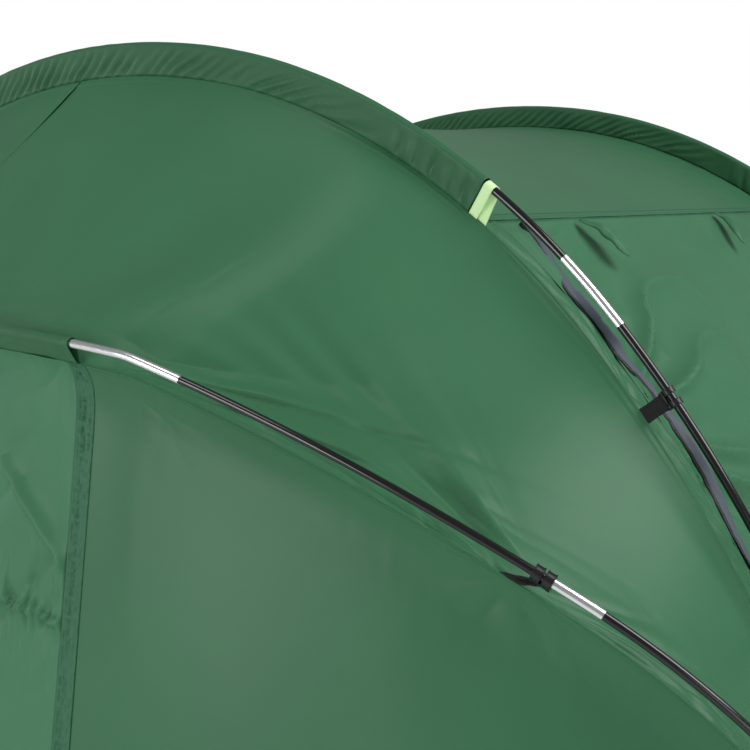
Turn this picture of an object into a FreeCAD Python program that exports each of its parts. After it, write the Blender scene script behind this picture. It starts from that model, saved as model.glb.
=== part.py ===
"""A low hoop tent: two tall main hoops, a leaning porch hoop in front and its twin at the back.

The frame: +X to the right of someone who looks in at the front door, +Y towards the back, +Z up.
The origin is on the ground, on the centre line, under the front hoop's feet.
Every hoop is a pole bent into arcs that run smoothly into each other, the same on both sides.
A place on a hoop is given by its distance from the crest along the pole, positive to the right.
"""
import FreeCAD, Part
import math
import os

from FreeCAD import Placement, Rotation, Vector

os.makedirs("parts", exist_ok=True)
doc = FreeCAD.newDocument("hoop_tent")

# ---------------------------------------------------------------- driving dimensions, mm and degrees
DRIVING = [
    ("bay_length", 1229),            # between the feet of the two main hoops
    ("foot_height", 20),             # where a pole ends, above the ground
    ("main_crest_radius", 1415),
    ("main_crest_turn", 9.88),
    ("main_shoulder_radius", 1164),
    ("main_shoulder_turn", 38.85),
    ("main_leg_radius", 1742),
    ("main_leg_turn", 28.84),
    ("main_crest_height", 1194),
    ("front_lean", 2.11),
    ("porch_crest_radius", 3888),
    ("porch_crest_turn", 6.31),
    ("elbow_bend_radius", 150),
    ("elbow_turn", 10.56),
    ("porch_shoulder_radius", 2745),
    ("porch_shoulder_turn", 12.68),
    ("porch_leg_radius", 679),
    ("porch_leg_turn", 58.11),
    ("porch_crest_height", 853),
    ("porch_lean", 24.32),
    ("porch_foot_ahead", 47),        # the porch hoop's feet stand this far in front
    ("main_pole_dia", 11),
    ("porch_pole_dia", 10),
    ("ferrule_wall", 0.8),
    ("elbow_wall", 1.0),
    ("cloth", 1.2),                  # thickness of every cloth panel
    ("seam_gap", 0.7),               # half the room between two panels at a seam
    ("main_seam_drop", 45),          # from a main pole's centre in to the cloth
    ("porch_seam_drop", 30),
    ("sleeve_room", 0.5),            # free room between a sleeve and what it covers
    ("main_sleeve_end", 780),        # along the pole from the crest
    ("porch_sleeve_end", 345),
    ("elbow_start", 335),
    ("elbow_end", 529),
    ("webbing", 1.5),
    ("loop_width", 15),
    ("clip_width", 24),
    ("clip_wall", 2.4),
    ("clip_ring", 9),
    ("clip_room", 0.1),
    ("clip_spine", 4),
    ("tab_width", 22),
    ("ferrule_room", 0.05),          # free room between a pole and the tube over it
    ("joint_gap", 1),                # between two pole ends inside a ferrule
    ("foot_ferrule", 45),
    ("pin_stub", 18),
    ("pin_collar_dia", 15),
    ("pin_collar", 3),
    ("ring_dia", 26),
    ("ring_wire", 4),
    ("wall_front", 460),             # the front wall's foot, ahead of the front hoop's feet
    ("corner_start", 450),           # where the wall's foot starts to curve back
    ("corner_width", 880),
    ("corner_depth", 410),
    ("door_half", 320),
    ("zip_flap_width", 20),
    ("door_room", 2),                # free room round a door
    ("door_lift", 8),                # a door's foot above the ground
    ("header", 802),                 # the side door's top, along the front pole from the crest
    ("rear_header", 764),            # and along the rear pole, where it is higher
    ("roof_sag", 40),                # the cabin roof's dip between the main hoops
    ("tuck_down", 55),               # how far under its seam an end wall is drawn in
    ("tuck_in", 22),                 # and by how much
    ("side_slider_run", 1885),       # where a side zip's slider rests, along the front pole
    ("tie_start", 12),               # the ties' tops below the header
    ("crimp_radius", 2.2),           # the stop pressed into the middle of a ferrule
    ("crimp_depth", 0.6),
    ("jamb", 34),
    ("zip_tape", 14),
    ("sheet_thick", 1.5),
    ("slider_length", 22),
    ("slider_width", 12),
    ("slider_plate", 3),
    ("slider_lift", 0.8),            # a slider's plate above the tape
    ("lug_height", 4),
    ("lug_thick", 1.6),
    ("pin_radius", 0.82),
    ("barrel_radius", 1.7),
    ("barrel_bore", 0.9),
    ("pull_length", 30),
    ("pull_width", 9),
    ("pull_thick", 1.6),
    ("tie_width", 18),
    ("tie_length", 90),
]

sheet = doc.addObject("Spreadsheet::Sheet", "Sizes")
for row, (alias, value) in enumerate(DRIVING, 1):
    sheet.set("A%d" % row, alias)
    sheet.set("B%d" % row, str(value))
    sheet.setAlias("B%d" % row, alias)
doc.recompute()


def size(alias):
    """A driving dimension, read from the spreadsheet."""
    return float(getattr(sheet, alias))


RIGHT = Vector(1, 0, 0)
SAMPLES = 17                         # points that carry one smooth edge of a panel
nodes = {}


# ---------------------------------------------------------------- hoops
class Hoop:
    """A bent pole in a plane that may lean; drop is the way from its centre in to the cloth."""

    def __init__(self, arcs, crest, foot_y, lean, pole_dia, drop):
        self.foot_y = foot_y
        self.up = Vector(0, math.sin(math.radians(lean)), math.cos(math.radians(lean)))
        self.front = RIGHT.cross(self.up)
        self.pole = pole_dia / 2
        self.drop = drop
        self.arcs = []
        place, heading, run = (0.0, crest), 0.0, 0.0
        for radius, degrees in arcs:
            turn = math.radians(degrees)
            centre = (place[0] - radius * math.sin(heading), place[1] - radius * math.cos(heading))
            self.arcs.append((run, centre, radius, heading))
            heading += turn
            run += radius * turn
            place = (centre[0] + radius * math.sin(heading), centre[1] + radius * math.cos(heading))
        self.half = run

    def arc_at(self, run):
        """The arc that holds this place, and the heading there."""
        start, centre, radius, heading = [a for a in self.arcs if a[0] <= abs(run) + 1e-9][-1]
        return centre, radius, heading + (abs(run) - start) / radius

    def flat(self, x, z):
        """A point of the hoop's own plane as a point of the tent."""
        return Vector(x, self.foot_y, 0) + self.up * z

    def point(self, run, drop=0.0, ahead=0.0):
        """The pole's centre line, moved in by drop and out of the hoop's plane by ahead."""
        centre, radius, heading = self.arc_at(run)
        side = 1 if run >= 0 else -1
        reach = radius - drop
        x = centre[0] + reach * math.sin(heading)
        z = centre[1] + reach * math.cos(heading)
        return self.flat(side * x, z) + self.front * ahead

    def outward(self, run):
        heading = self.arc_at(run)[2]
        side = 1 if run >= 0 else -1
        return RIGHT * (side * math.sin(heading)) + self.up * math.cos(heading)

    def along(self, run):
        """The direction in which run grows."""
        heading = self.arc_at(run)[2]
        side = 1 if run >= 0 else -1
        return RIGHT * math.cos(heading) - self.up * (side * math.sin(heading))

    def seat(self, run, drop=0.0):
        """A placement on the pole: x along it, z outwards."""
        turn = Rotation(self.along(run), Vector(), self.outward(run), "XZY")
        return Placement(self.point(run, drop), turn)

    def breaks(self, start, end):
        """The places between start and end where one arc runs into the next."""
        ends = [sign * a[0] for a in self.arcs[1:] for sign in (-1, 1)] + [0.0]
        inner = sorted(b for b in ends if start + 1e-6 < b < end - 1e-6)
        return [start] + inner + [end]

    def path(self, start, end, drop=0.0, ahead=0.0):
        """The centre line from start to end as one wire of arcs."""
        stops = self.breaks(start, end)
        edges = []
        for a, b in zip(stops, stops[1:]):
            three = [self.point(run, drop, ahead) for run in (a, (a + b) / 2, b)]
            edges.append(Part.Arc(*three).toShape())
        return Part.Wire(edges)

    def rod(self, start, end, radius):
        path = self.path(start, end)
        circle = Part.Circle(self.point(start), self.along(start), radius)
        return path.makePipeShell([Part.Wire(circle.toShape())], True, False)

    def tube(self, start, end, inner, outer):
        return self.rod(start, end, outer).cut(self.rod(start - 1, end + 1, inner))


MAIN_ARCS = [
    (size("main_crest_radius"), size("main_crest_turn")),
    (size("main_shoulder_radius"), size("main_shoulder_turn")),
    (size("main_leg_radius"), size("main_leg_turn")),
]
PORCH_ARCS = [
    (size("porch_crest_radius"), size("porch_crest_turn")),
    (size("elbow_bend_radius"), size("elbow_turn")),
    (size("porch_shoulder_radius"), size("porch_shoulder_turn")),
    (size("porch_leg_radius"), size("porch_leg_turn")),
]


def main_hoop(foot_y, lean):
    return Hoop(MAIN_ARCS, size("main_crest_height"), foot_y, lean,
                size("main_pole_dia"), size("main_seam_drop"))


def low_hoop(foot_y, lean):
    return Hoop(PORCH_ARCS, size("porch_crest_height"), foot_y, lean,
                size("porch_pole_dia"), size("porch_seam_drop"))


BAY = size("bay_length")
HOOPS = {
    "porch": low_hoop(-size("porch_foot_ahead"), -size("porch_lean")),
    "front": main_hoop(0, -size("front_lean")),
    "rear": main_hoop(BAY, 0),
    "tail": low_hoop(BAY + size("porch_foot_ahead"), size("porch_lean")),
}
# where two pole pieces meet, and how long the ferrule over them reaches to each side
POLE_JOINTS = {
    "porch": [(1050, 34, 33), (1555, 50, 50)],
    "front": [(327, 55, 55), (981, 55, 56), (1633, 55, 55)],
}
POLE_JOINTS["tail"] = POLE_JOINTS["porch"]
POLE_JOINTS["rear"] = POLE_JOINTS["front"]
CLIPS = {"porch": [1013, 1400], "front": [1142, 1440, 1760]}
CLIPS["tail"] = CLIPS["porch"]
CLIPS["rear"] = CLIPS["front"]


# ---------------------------------------------------------------- helpers
def keep(label, shape):
    """A piece whose shape is worked out from the hoops, as a document object."""
    feature = doc.addObject("Part::Feature", label)
    feature.Label = label
    feature.Shape = shape
    nodes[label] = feature
    return feature


def group(shapes):
    """Separate solids in one node."""
    solids = [solid for shape in shapes for solid in shape.Solids]
    return solids[0] if len(solids) == 1 else Part.makeCompound(solids)


def flipped(shape):
    """The same piece on the other side of the tent."""
    return shape.mirror(Vector(0, 0, 0), RIGHT)


def keep_pair(name, shape):
    keep(name + "_right", shape)
    keep(name + "_left", flipped(shape))


def smooth(points):
    """One edge through the points, straight where there are only two."""
    if len(points) == 2:
        return Part.LineSegment(points[0], points[1]).toShape()
    curve = Part.BSplineCurve()
    curve.interpolate(points)
    return curve.toShape()


def slab(rows):
    """A sheet over two or more rows; each row is its outer face's points and its inner face's."""
    edges = [(smooth(outer), smooth(inner)) for outer, inner in rows]
    pairs = [edges[0], edges[-1]]
    for (outer_a, inner_a), (outer_b, inner_b) in zip(edges, edges[1:]):
        pairs += [(outer_a, outer_b), (inner_a, inner_b)]
    for row_a, row_b in zip(rows, rows[1:]):
        for end in (0, -1):
            pairs.append(tuple(smooth([row[0][end], row[1][end]]) for row in (row_a, row_b)))
    faces = [Part.makeRuledSurface(a, b) for a, b in pairs]
    shell = Part.Shell(faces)
    shell.sewShape()
    solid = Part.Solid(shell)
    if solid.Volume < 0:
        solid.reverse()
    return solid


def steps(start, end, count=SAMPLES):
    return [start + (end - start) * i / (count - 1) for i in range(count)]


def hoop_row(hoop, runs, ahead, drop=None, thick=None):
    """The cloth's edge along a hoop: its outer face and its inner one."""
    drop = hoop.drop if drop is None else drop
    thick = size("cloth") if thick is None else thick
    outer = [hoop.point(run, drop, ahead) for run in runs]
    inner = [hoop.point(run, drop + thick, ahead) for run in runs]
    return outer, inner


def ground_run(hoop, drop, height):
    """How far along the pole the cloth at this drop comes down to this height."""
    low, high = hoop.half - 150, hoop.half + 60
    for _ in range(40):
        middle = (low + high) / 2
        if hoop.point(middle, drop).z > height:
            low = middle
        else:
            high = middle
    return low


def row_between(a, b, share, runs_a, runs_b, drop_in=0.0, thick=None):
    """Cloth points part of the way from hoop a to hoop b; drop_in moves them in."""
    rows = []
    thick = size("cloth") if thick is None else thick
    for extra in (drop_in, drop_in + thick):
        row = []
        for run_a, run_b in zip(runs_a, runs_b):
            near = a.point(run_a, a.drop + extra)
            far = b.point(run_b, b.drop + extra)
            row.append(near + (far - near) * share)
        rows.append(row)
    return tuple(rows)


# ---------------------------------------------------------------- poles, ferrules and elbows
def pole_pieces(name):
    """The pole's pieces from the crest outwards, as start and end along the pole."""
    hoop = HOOPS[name]
    gap = size("joint_gap") / 2
    joints = [place for place, _, _ in POLE_JOINTS[name]]
    if name in ("porch", "tail"):
        bend = (size("elbow_start") + size("elbow_end")) / 2
        pieces = [(-(bend - 40), bend - 40), (bend + 45, joints[0] - gap)]
    else:
        pieces = [(-(joints[0] - gap), joints[0] - gap)]
        pieces.append((joints[0] + gap, joints[1] - gap))
        joints = joints[1:]
    for a, b in zip(joints, joints[1:] + [None]):
        end = hoop.half - size("foot_ferrule") / 2 if b is None else b - gap
        pieces.append((a + gap, end))
    return pieces


def make_poles(name):
    hoop = HOOPS[name]
    pieces = pole_pieces(name)
    keep(name + "_crown_pole", hoop.rod(pieces[0][0], pieces[0][1], hoop.pole))
    keep_pair(name + "_poles", group([hoop.rod(a, b, hoop.pole) for a, b in pieces[1:]]))


def make_ferrules(name):
    """A steel tube over every joint of the pole, with a stop crimped into it, and one at each foot."""
    hoop = HOOPS[name]
    inner = hoop.pole + size("ferrule_room")
    outer = hoop.pole + size("ferrule_wall")
    ball = size("crimp_radius")
    shapes = []
    for place, before, after in POLE_JOINTS[name]:
        tube = hoop.tube(place - before, place + after, inner, outer)
        crimp = Part.makeSphere(ball, hoop.point(place, outer + ball - size("crimp_depth")))
        shapes.append(tube.cut(crimp))
    start = hoop.half - size("foot_ferrule")
    shapes.append(hoop.tube(start, hoop.half, inner, outer))
    keep(name + "_ferrules", group(shapes + [flipped(shape) for shape in shapes]))


def make_elbows(name):
    hoop = HOOPS[name]
    outer = hoop.pole + size("elbow_wall")
    inner = hoop.pole + size("ferrule_room")
    elbow = hoop.tube(size("elbow_start"), size("elbow_end"), inner, outer)
    keep(name + "_elbows", group([elbow, flipped(elbow)]))


# ---------------------------------------------------------------- sleeves and their loops
def make_sleeve(name, end, inner):
    """A tight cloth tunnel round the pole with a flat band down to the seam."""
    hoop = HOOPS[name]
    outer = inner + size("cloth") * 0.7
    half = size("cloth") / 2
    runs = steps(-end, end)
    rows = []
    for drop in (outer + 0.1, hoop.drop - 0.2):
        rows.append(tuple([hoop.point(run, drop, ahead) for run in runs] for ahead in (half, -half)))
    keep(name + "_sleeve", group([hoop.tube(-end, end, inner, outer), slab(rows)]))


def prism(outline, axis_length):
    """A flat outline in the YZ plane, as thick as axis_length along X and centred on it."""
    face = Part.Face(Part.makePolygon([Vector(-axis_length / 2, y, z) for y, z in outline + outline[:1]]))
    return face.extrude(Vector(axis_length, 0, 0))


def cylinder_x(radius, length):
    return Part.makeCylinder(radius, length, Vector(-length / 2, 0, 0), RIGHT)


def strap_loop(radius, drop, width):
    """Webbing that goes over the pole and down both sides to the seam."""
    thick = size("webbing")
    over = radius + thick
    foot = 0.8
    outside = cylinder_x(over, width).fuse(
        prism([(-over, 0), (over, 0), (foot + thick, -drop), (-foot - thick, -drop)], width))
    inside = cylinder_x(radius, width + 2).fuse(
        prism([(-radius, 0), (radius, 0), (foot, -drop - 1), (-foot, -drop - 1)], width + 2))
    return outside.cut(inside)


def make_sleeve_loops(name):
    hoop = HOOPS[name]
    width = size("loop_width")
    middle = size("main_sleeve_end") + 2 + width / 2
    loop = strap_loop(hoop.pole + 0.2, hoop.drop - 1, width)
    loop.Placement = hoop.seat(middle)
    keep(name + "_sleeve_loops", group([loop, flipped(loop)]))


# ---------------------------------------------------------------- clips and webbing tabs
def origin_plane(body, role):
    return next(feature for feature in body.Origin.OriginFeatures if feature.Role == role)


def body_sketch(body, name, role):
    sketch = body.newObject("Sketcher::SketchObject", name)
    sketch.AttachmentSupport = [(origin_plane(body, role), "")]
    sketch.MapMode = "FlatFace"
    return sketch


def closed_sketch(sketch, points):
    for a, b in zip(points, points[1:] + points[:1]):
        sketch.addGeometry(Part.LineSegment(Vector(a[0], a[1], 0), Vector(b[0], b[1], 0)), False)


def clip_pattern(name, bore):
    """One clip: a spine with two open rings; the pole runs along X, the mouths face back and out."""
    body = doc.addObject("PartDesign::Body", name)
    ring = bore + size("clip_wall")
    mouth = (math.radians(-5), math.radians(50))
    spine = body_sketch(body, name + "_spine_outline", "YZ_Plane")
    top = -(bore + 0.4)
    closed_sketch(spine, [(-5, top), (5, top), (4, -ring - 3), (-4, -ring - 3)])
    pad = body.newObject("PartDesign::Pad", name + "_spine")
    pad.Profile = spine
    pad.setExpression("Length", "Sizes.clip_width")
    pad.Midplane = True
    rings = body_sketch(body, name + "_ring_outline", "YZ_Plane")
    centre = Vector(0, 0, 0)
    for radius in (bore, ring):
        circle = Part.Circle(centre, Vector(0, 0, 1), radius)
        rings.addGeometry(Part.ArcOfCircle(circle, mouth[1], mouth[0] + 2 * math.pi), False)
    for angle in mouth:
        ray = Vector(math.cos(angle), math.sin(angle), 0)
        rings.addGeometry(Part.LineSegment(ray * bore, ray * ring), False)
    rings.AttachmentOffset = Placement(Vector(0, 0, -size("clip_width") / 2), Rotation())
    hook = body.newObject("PartDesign::Pad", name + "_ring")
    hook.Profile = rings
    hook.setExpression("Length", "Sizes.clip_ring")
    doc.recompute()
    row = body.newObject("PartDesign::LinearPattern", name + "_rings")
    row.Originals = [hook]
    row.Direction = (rings, ["N_Axis"])
    row.setExpression("Length", "Sizes.clip_width - Sizes.clip_ring")
    row.Occurrences = 2
    body.Tip = row
    doc.recompute()
    return body.Shape.Solids[0]


def make_clips(name, pattern, bore):
    """The clips down both legs of a hoop, and the webbing tabs that tie them to the seam."""
    hoop = HOOPS[name]
    low = bore + size("clip_wall") + 3
    clips, tabs = [], []
    for run in CLIPS[name]:
        clip = pattern.copy()
        clip.Placement = hoop.seat(run)
        clips.append(clip)
        width = size("tab_width")
        runs = steps(run - width / 2, run + width / 2, 5)
        half = size("webbing") / 2
        rows = []
        for drop in (low, hoop.drop - 0.2):
            rows.append(tuple([hoop.point(r, drop, ahead) for r in runs] for ahead in (half, -half)))
        tabs.append(slab(rows))
    keep(name + "_clips", group(clips + [flipped(clip) for clip in clips]))
    keep(name + "_clip_tabs", group(tabs + [flipped(tab) for tab in tabs]))


# ---------------------------------------------------------------- feet
def foot_pin(hoop):
    """A steel pin that stands in the foot ferrule, on a collar, with a flat ring for the webbing."""
    stub = Part.makeCylinder(hoop.pole - 0.6, size("pin_stub") + 2, Vector(0, 0, 0), RIGHT * -1)
    collar = Part.makeCylinder(size("pin_collar_dia") / 2, size("pin_collar"), Vector(0.2, 0, 0), RIGHT)
    neck = Part.makeCylinder(3, size("foot_height") - 1.5, Vector(0, 0, 0), RIGHT)
    return stub.fuse([collar, neck])


def make_feet():
    """Pins, and the webbing that holds each pin's ring to the cloth's corner."""
    pins, straps = [], []
    wire = size("ring_wire")
    for hoop in HOOPS.values():
        pin = foot_pin(hoop)
        pin.Placement = hoop.seat(hoop.half)
        foot = hoop.point(hoop.half + size("foot_height") - 2)
        ring = Part.makeTorus(size("ring_dia") / 2, wire / 2, Vector(foot.x, foot.y, wire / 2))
        plug = Part.makeCylinder(size("ring_dia") / 2, 2.4, Vector(foot.x, foot.y, 0.8))
        pins.append(pin.fuse([ring, plug]))
        inner = foot.x - size("ring_dia") / 2 - wire / 2 - 0.3
        width = size("tab_width")
        seam = hoop.point(hoop.half, hoop.drop).x + 2.5
        straps.append(Part.makeBox(inner - seam, width, size("webbing"),
                                   Vector(seam, foot.y - width / 2, 0)))
    keep("foot_pins", group(pins + [flipped(pin) for pin in pins]))
    keep("foot_webbing", group(straps + [flipped(strap) for strap in straps]))


# ---------------------------------------------------------------- cloth between the hoops
def make_roof(label, a, b, toward_a, toward_b):
    """A cloth panel from hoop a to hoop b, down to the ground on both sides."""
    gap = size("seam_gap")
    ends = [ground_run(hoop, hoop.drop, 6) for hoop in (a, b)]
    rows = []
    for hoop, end, ahead in ((a, ends[0], toward_a), (b, ends[1], toward_b)):
        rows.append(hoop_row(hoop, steps(-end, end, 25), ahead * gap))
    keep(label, slab(rows))


def make_cabin_roof():
    front, rear = HOOPS["front"], HOOPS["rear"]
    near, far = size("header"), size("rear_header")
    gap, sag, cloth = size("seam_gap"), size("roof_sag"), size("cloth")
    rows = [hoop_row(front, steps(-near, near), -gap)]
    for share in (0.22, 0.5, 0.78):
        dip = sag * 4 * share * (1 - share)
        runs = steps(-near, near), steps(-far, far)
        edge = [dip * (1 - abs(i / (SAMPLES - 1) * 2 - 1) ** 4) for i in range(SAMPLES)]
        row = []
        for extra in (0, cloth):
            ends = [[hoop.point(run, hoop.drop + extra + d) for run, d in zip(line, edge)]
                    for hoop, line in zip((front, rear), runs)]
            row.append([a + (b - a) * share for a, b in zip(*ends)])
        rows.append(tuple(row))
    rows.append(hoop_row(rear, steps(-far, far), gap))
    keep("cabin_roof", slab(rows))


def side_strip(near, far, below, end=None, length=None, drop_in=0.0):
    """Cloth of the side wall from near to far behind the front hoop, from below the header down."""
    front, rear = HOOPS["front"], HOOPS["rear"]
    runs = []
    for start in (size("header") + below, size("rear_header") + below):
        runs.append(steps(start, start + length if length else end))
    rows = [row_between(front, rear, distance / BAY, *runs, drop_in) for distance in (near, far)]
    return slab(rows)


def make_sides():
    """Fixed jambs beside both main hoops, the zip tapes on them, and the door between."""
    front = HOOPS["front"]
    top = size("door_room")
    floor = ground_run(front, front.drop, 1)
    foot = ground_run(front, front.drop, size("door_lift"))
    jamb, tape, gap = size("jamb"), size("zip_tape"), size("seam_gap")
    jambs = [side_strip(gap, jamb, top, floor), side_strip(BAY - jamb, BAY - gap, top, floor)]
    keep_pair("side_jambs", group(jambs))
    inner = jamb + 0.4
    tapes = [side_strip(inner, inner + tape, top, foot),
             side_strip(BAY - inner - tape, BAY - inner, top, foot)]
    keep_pair("side_zip_tapes", group(tapes))
    edge = inner + tape + size("door_room")
    keep_pair("side_door", side_strip(edge, BAY - edge, 2 * top, foot))


def make_door_ties():
    """Two narrow cloth ties that hang on the outside of each side door from its top."""
    ties = []
    for share in (0.18, 0.72):
        near = BAY * share
        ties.append(side_strip(near, near + size("tie_width"), size("tie_start"),
                               length=size("tie_length"), drop_in=-size("cloth") - 0.3))
    keep_pair("side_door_ties", group(ties))


# ---------------------------------------------------------------- end walls
def wall_foot(x, inward=0.0):
    """The front wall's line on the ground: straight across the door, then curving back."""
    start = size("corner_start")
    wide, deep = size("corner_width") - inward, size("corner_depth") - inward
    share = max(0.0, min(0.999, (abs(x) - start) / wide))
    back = size("corner_depth") - size("wall_front")
    return Vector(x, back - deep * math.sqrt(1 - share * share), 0)


def run_at(hoop, x, drop):
    """How far along the pole the cloth edge at this drop is x from the centre line."""
    low, high = 0.0, hoop.half
    for _ in range(40):
        middle = (low + high) / 2
        if hoop.point(middle, drop).x < x:
            low = middle
        else:
            high = middle
    return low


def wall_rows(hoop, runs, lift, top_drop, flip=False):
    """A wall panel's top edge under the porch seam, the tuck below it and its foot on the ground."""
    gap, cloth = size("seam_gap"), size("cloth")
    side = -1 if flip else 1
    tops = [[hoop.point(run, top_drop, side * (gap + extra)) for run in runs] for extra in (cloth, 0)]
    feet = []
    for inward in (0, cloth):
        row = []
        for run in runs:
            foot = wall_foot(hoop.point(run, top_drop).x, inward)
            if flip:
                foot.y = BAY - foot.y
            row.append(foot + Vector(0, 0, lift))
        feet.append(row)
    tucks = []
    for tops_row, feet_row in zip(tops, feet):
        tucks.append([tuck(*ends, foot, side) for ends, foot in zip(neighbours(tops_row), feet_row)])
    return [tuple(tops), tuple(tucks), tuple(feet)]


def neighbours(row):
    """Each point of a row with the way the row runs there."""
    last = len(row) - 1
    return [(point, row[min(i + 1, last)] - row[max(i - 1, 0)]) for i, point in enumerate(row)]


def tuck(top, way, foot, side):
    """The point under a wall's seam where the cloth is drawn in towards the tent."""
    down = foot - top
    inward = way.cross(down).normalize() * -side
    if inward.y * side < 0:
        inward = inward * -1
    share = min(1.0, down.Length / 400)
    return top + down.normalize() * size("tuck_down") * share + inward * size("tuck_in") * share


def make_front_wall():
    hoop = HOOPS["porch"]
    drop = hoop.drop
    room, flap = size("door_room"), size("zip_flap_width")
    flap_in = size("door_half") + room
    wing_in = flap_in + flap + 0.4
    last = hoop.half - 30
    wing = slab(wall_rows(hoop, steps(run_at(hoop, wing_in, drop), last), 0, drop))
    keep_pair("front_wall", wing)
    edges = [run_at(hoop, x, drop) for x in (flap_in, flap_in + flap)]
    strip = slab(wall_rows(hoop, steps(edges[0], edges[1], 3), size("door_lift"), drop))
    keep("front_zip_flaps", group([strip, flipped(strip)]))
    half = run_at(hoop, size("door_half"), drop)
    keep("front_door", slab(wall_rows(hoop, steps(-half, half, 9), size("door_lift"), drop + 4)))


def make_rear_wall():
    hoop = HOOPS["tail"]
    last = hoop.half - 30
    keep("rear_wall", slab(wall_rows(hoop, steps(-last, last, 31), 0, hoop.drop, True)))


def make_groundsheet():
    """The sewn-in floor, a little inside the walls."""
    body = doc.addObject("PartDesign::Body", "groundsheet")
    outline = body_sketch(body, "groundsheet_outline", "XY_Plane")
    inset = 6
    side = HOOPS["front"].point(HOOPS["front"].half, size("main_seam_drop")).x - inset
    front = [wall_foot(x, inset) for x in steps(size("corner_start"), side, 9)]
    points = [(-p.x, p.y) for p in reversed(front)] + [(p.x, p.y) for p in front]
    points += [(x, BAY - y) for x, y in reversed(points)]
    closed_sketch(outline, points)
    pad = body.newObject("PartDesign::Pad", "groundsheet_pad")
    pad.Profile = outline
    pad.setExpression("Length", "Sizes.sheet_thick")
    doc.recompute()
    body.Label = "groundsheet"
    nodes["groundsheet"] = body


# ---------------------------------------------------------------- zip sliders and pulls
def slider_shape():
    """A slider on its tape: x up the zip, z out of the cloth; two lugs carry the pull's pin."""
    length, width = size("slider_length"), size("slider_width")
    plate, lift = size("slider_plate"), size("slider_lift")
    lug, lug_high = size("lug_thick"), size("lug_height")
    body = Part.makeBox(length, width, plate, Vector(-length / 2, -width / 2, lift))
    body = body.makeChamfer(1.0, [e for e in body.Edges if e.BoundBox.ZMin > lift + plate - 0.1])
    top = lift + plate
    parts = []
    for side in (-1, 1):
        y = side * (size("pull_width") / 2 - lug - 0.1) - lug / 2
        parts.append(Part.makeBox(5, lug, lug_high, Vector(-2.5, y, top)))
    span = size("pull_width") - lug
    pin = Part.makeCylinder(size("pin_radius"), span, Vector(0, -span / 2, pin_height()), Vector(0, 1, 0))
    return body.fuse(parts + [pin]).removeSplitter()


def pin_height():
    return size("slider_lift") + size("slider_plate") + size("barrel_radius") + 0.3


def pull_shape():
    """The pull's barrel on the pin and its tab, which hangs down the zip."""
    inner = 2 * (size("pull_width") / 2 - 1.5 * size("lug_thick") - 0.1) - 0.4
    height = pin_height()
    thick, reach = size("pull_thick"), size("pull_length")
    sideways = Vector(0, 1, 0)
    barrel = Part.makeCylinder(size("barrel_radius"), inner, Vector(0, -inner / 2, height), sideways)
    stem = Part.makeBox(8, inner, thick, Vector(-8, -inner / 2, height - thick / 2))
    tab = Part.makeBox(reach - 7, size("pull_width"), thick,
                       Vector(-reach, -size("pull_width") / 2, height - thick / 2))
    corners = [e for e in tab.Edges if abs(e.tangentAt(e.FirstParameter).z) > 0.9]
    tab = tab.makeFillet(2.2, corners)
    slot = Part.makeBox(8, 3, 10, Vector(-reach + 5, -1.5, height - 5))
    bore = Part.makeCylinder(size("barrel_bore"), inner + 2, Vector(0, -inner / 2 - 1, height), sideways)
    return barrel.fuse([stem, tab]).cut(bore.fuse(slot)).removeSplitter()


def front_zip_seat():
    """Where the front zip's slider rests, and the way it goes up."""
    hoop = HOOPS["porch"]
    x = size("door_half") + size("door_room") + size("zip_flap_width") / 2
    run = run_at(hoop, x, hoop.drop)
    _, tucks, feet = wall_rows(hoop, [run - 1, run, run + 1], size("door_lift"), hoop.drop)
    top, foot = tucks[0][1], feet[0][1]
    top.x = foot.x = x
    up = (top - foot).normalize()
    out = up.cross(RIGHT) * -1
    start = foot + up * 26
    return Placement(start, Rotation(up, Vector(), out, "XZY")), up


def side_zip_seat():
    """Where a side zip's slider rests: on the tape near the ground, facing up the leg."""
    front, rear = HOOPS["front"], HOOPS["rear"]
    run = size("side_slider_run")
    share = (size("jamb") + 0.4 + size("zip_tape") / 2) / BAY
    near, far = front.point(run, front.drop), rear.point(run, rear.drop)
    start = near + (far - near) * share
    up = front.along(run) * -1
    return Placement(start, Rotation(up, Vector(), front.outward(run), "XZY"))


def make_sliders():
    slider, pull = slider_shape(), pull_shape()
    for name, seat in (("front_zip", front_zip_seat()[0]), ("side_zip", side_zip_seat())):
        for part, shape in (("slider", slider), ("pull", pull)):
            placed = shape.copy()
            placed.Placement = seat
            keep_pair("%s_%s" % (name, part), placed)


# ---------------------------------------------------------------- build
porch_bore = size("porch_pole_dia") / 2 + size("ferrule_wall") + size("clip_room")
main_bore = size("main_pole_dia") / 2 + size("clip_room")
porch_clip = clip_pattern("porch_clip_pattern", porch_bore)
main_clip = clip_pattern("main_clip_pattern", main_bore)

for hoop_name, hoop in HOOPS.items():
    low_one = hoop_name in ("porch", "tail")
    make_poles(hoop_name)
    make_ferrules(hoop_name)
    cover = size("elbow_wall") if low_one else size("ferrule_wall")
    sleeve_end = size("porch_sleeve_end") if low_one else size("main_sleeve_end")
    make_sleeve(hoop_name, sleeve_end, hoop.pole + cover + size("sleeve_room"))
    if low_one:
        make_elbows(hoop_name)
        make_clips(hoop_name, porch_clip, porch_bore)
    else:
        make_sleeve_loops(hoop_name)
        make_clips(hoop_name, main_clip, main_bore)

make_feet()
make_roof("porch_roof", HOOPS["porch"], HOOPS["front"], -1, 1)
make_roof("rear_roof", HOOPS["rear"], HOOPS["tail"], -1, 1)
make_cabin_roof()
make_sides()
make_door_ties()
make_front_wall()
make_rear_wall()
make_groundsheet()
make_sliders()
doc.recompute()

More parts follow.
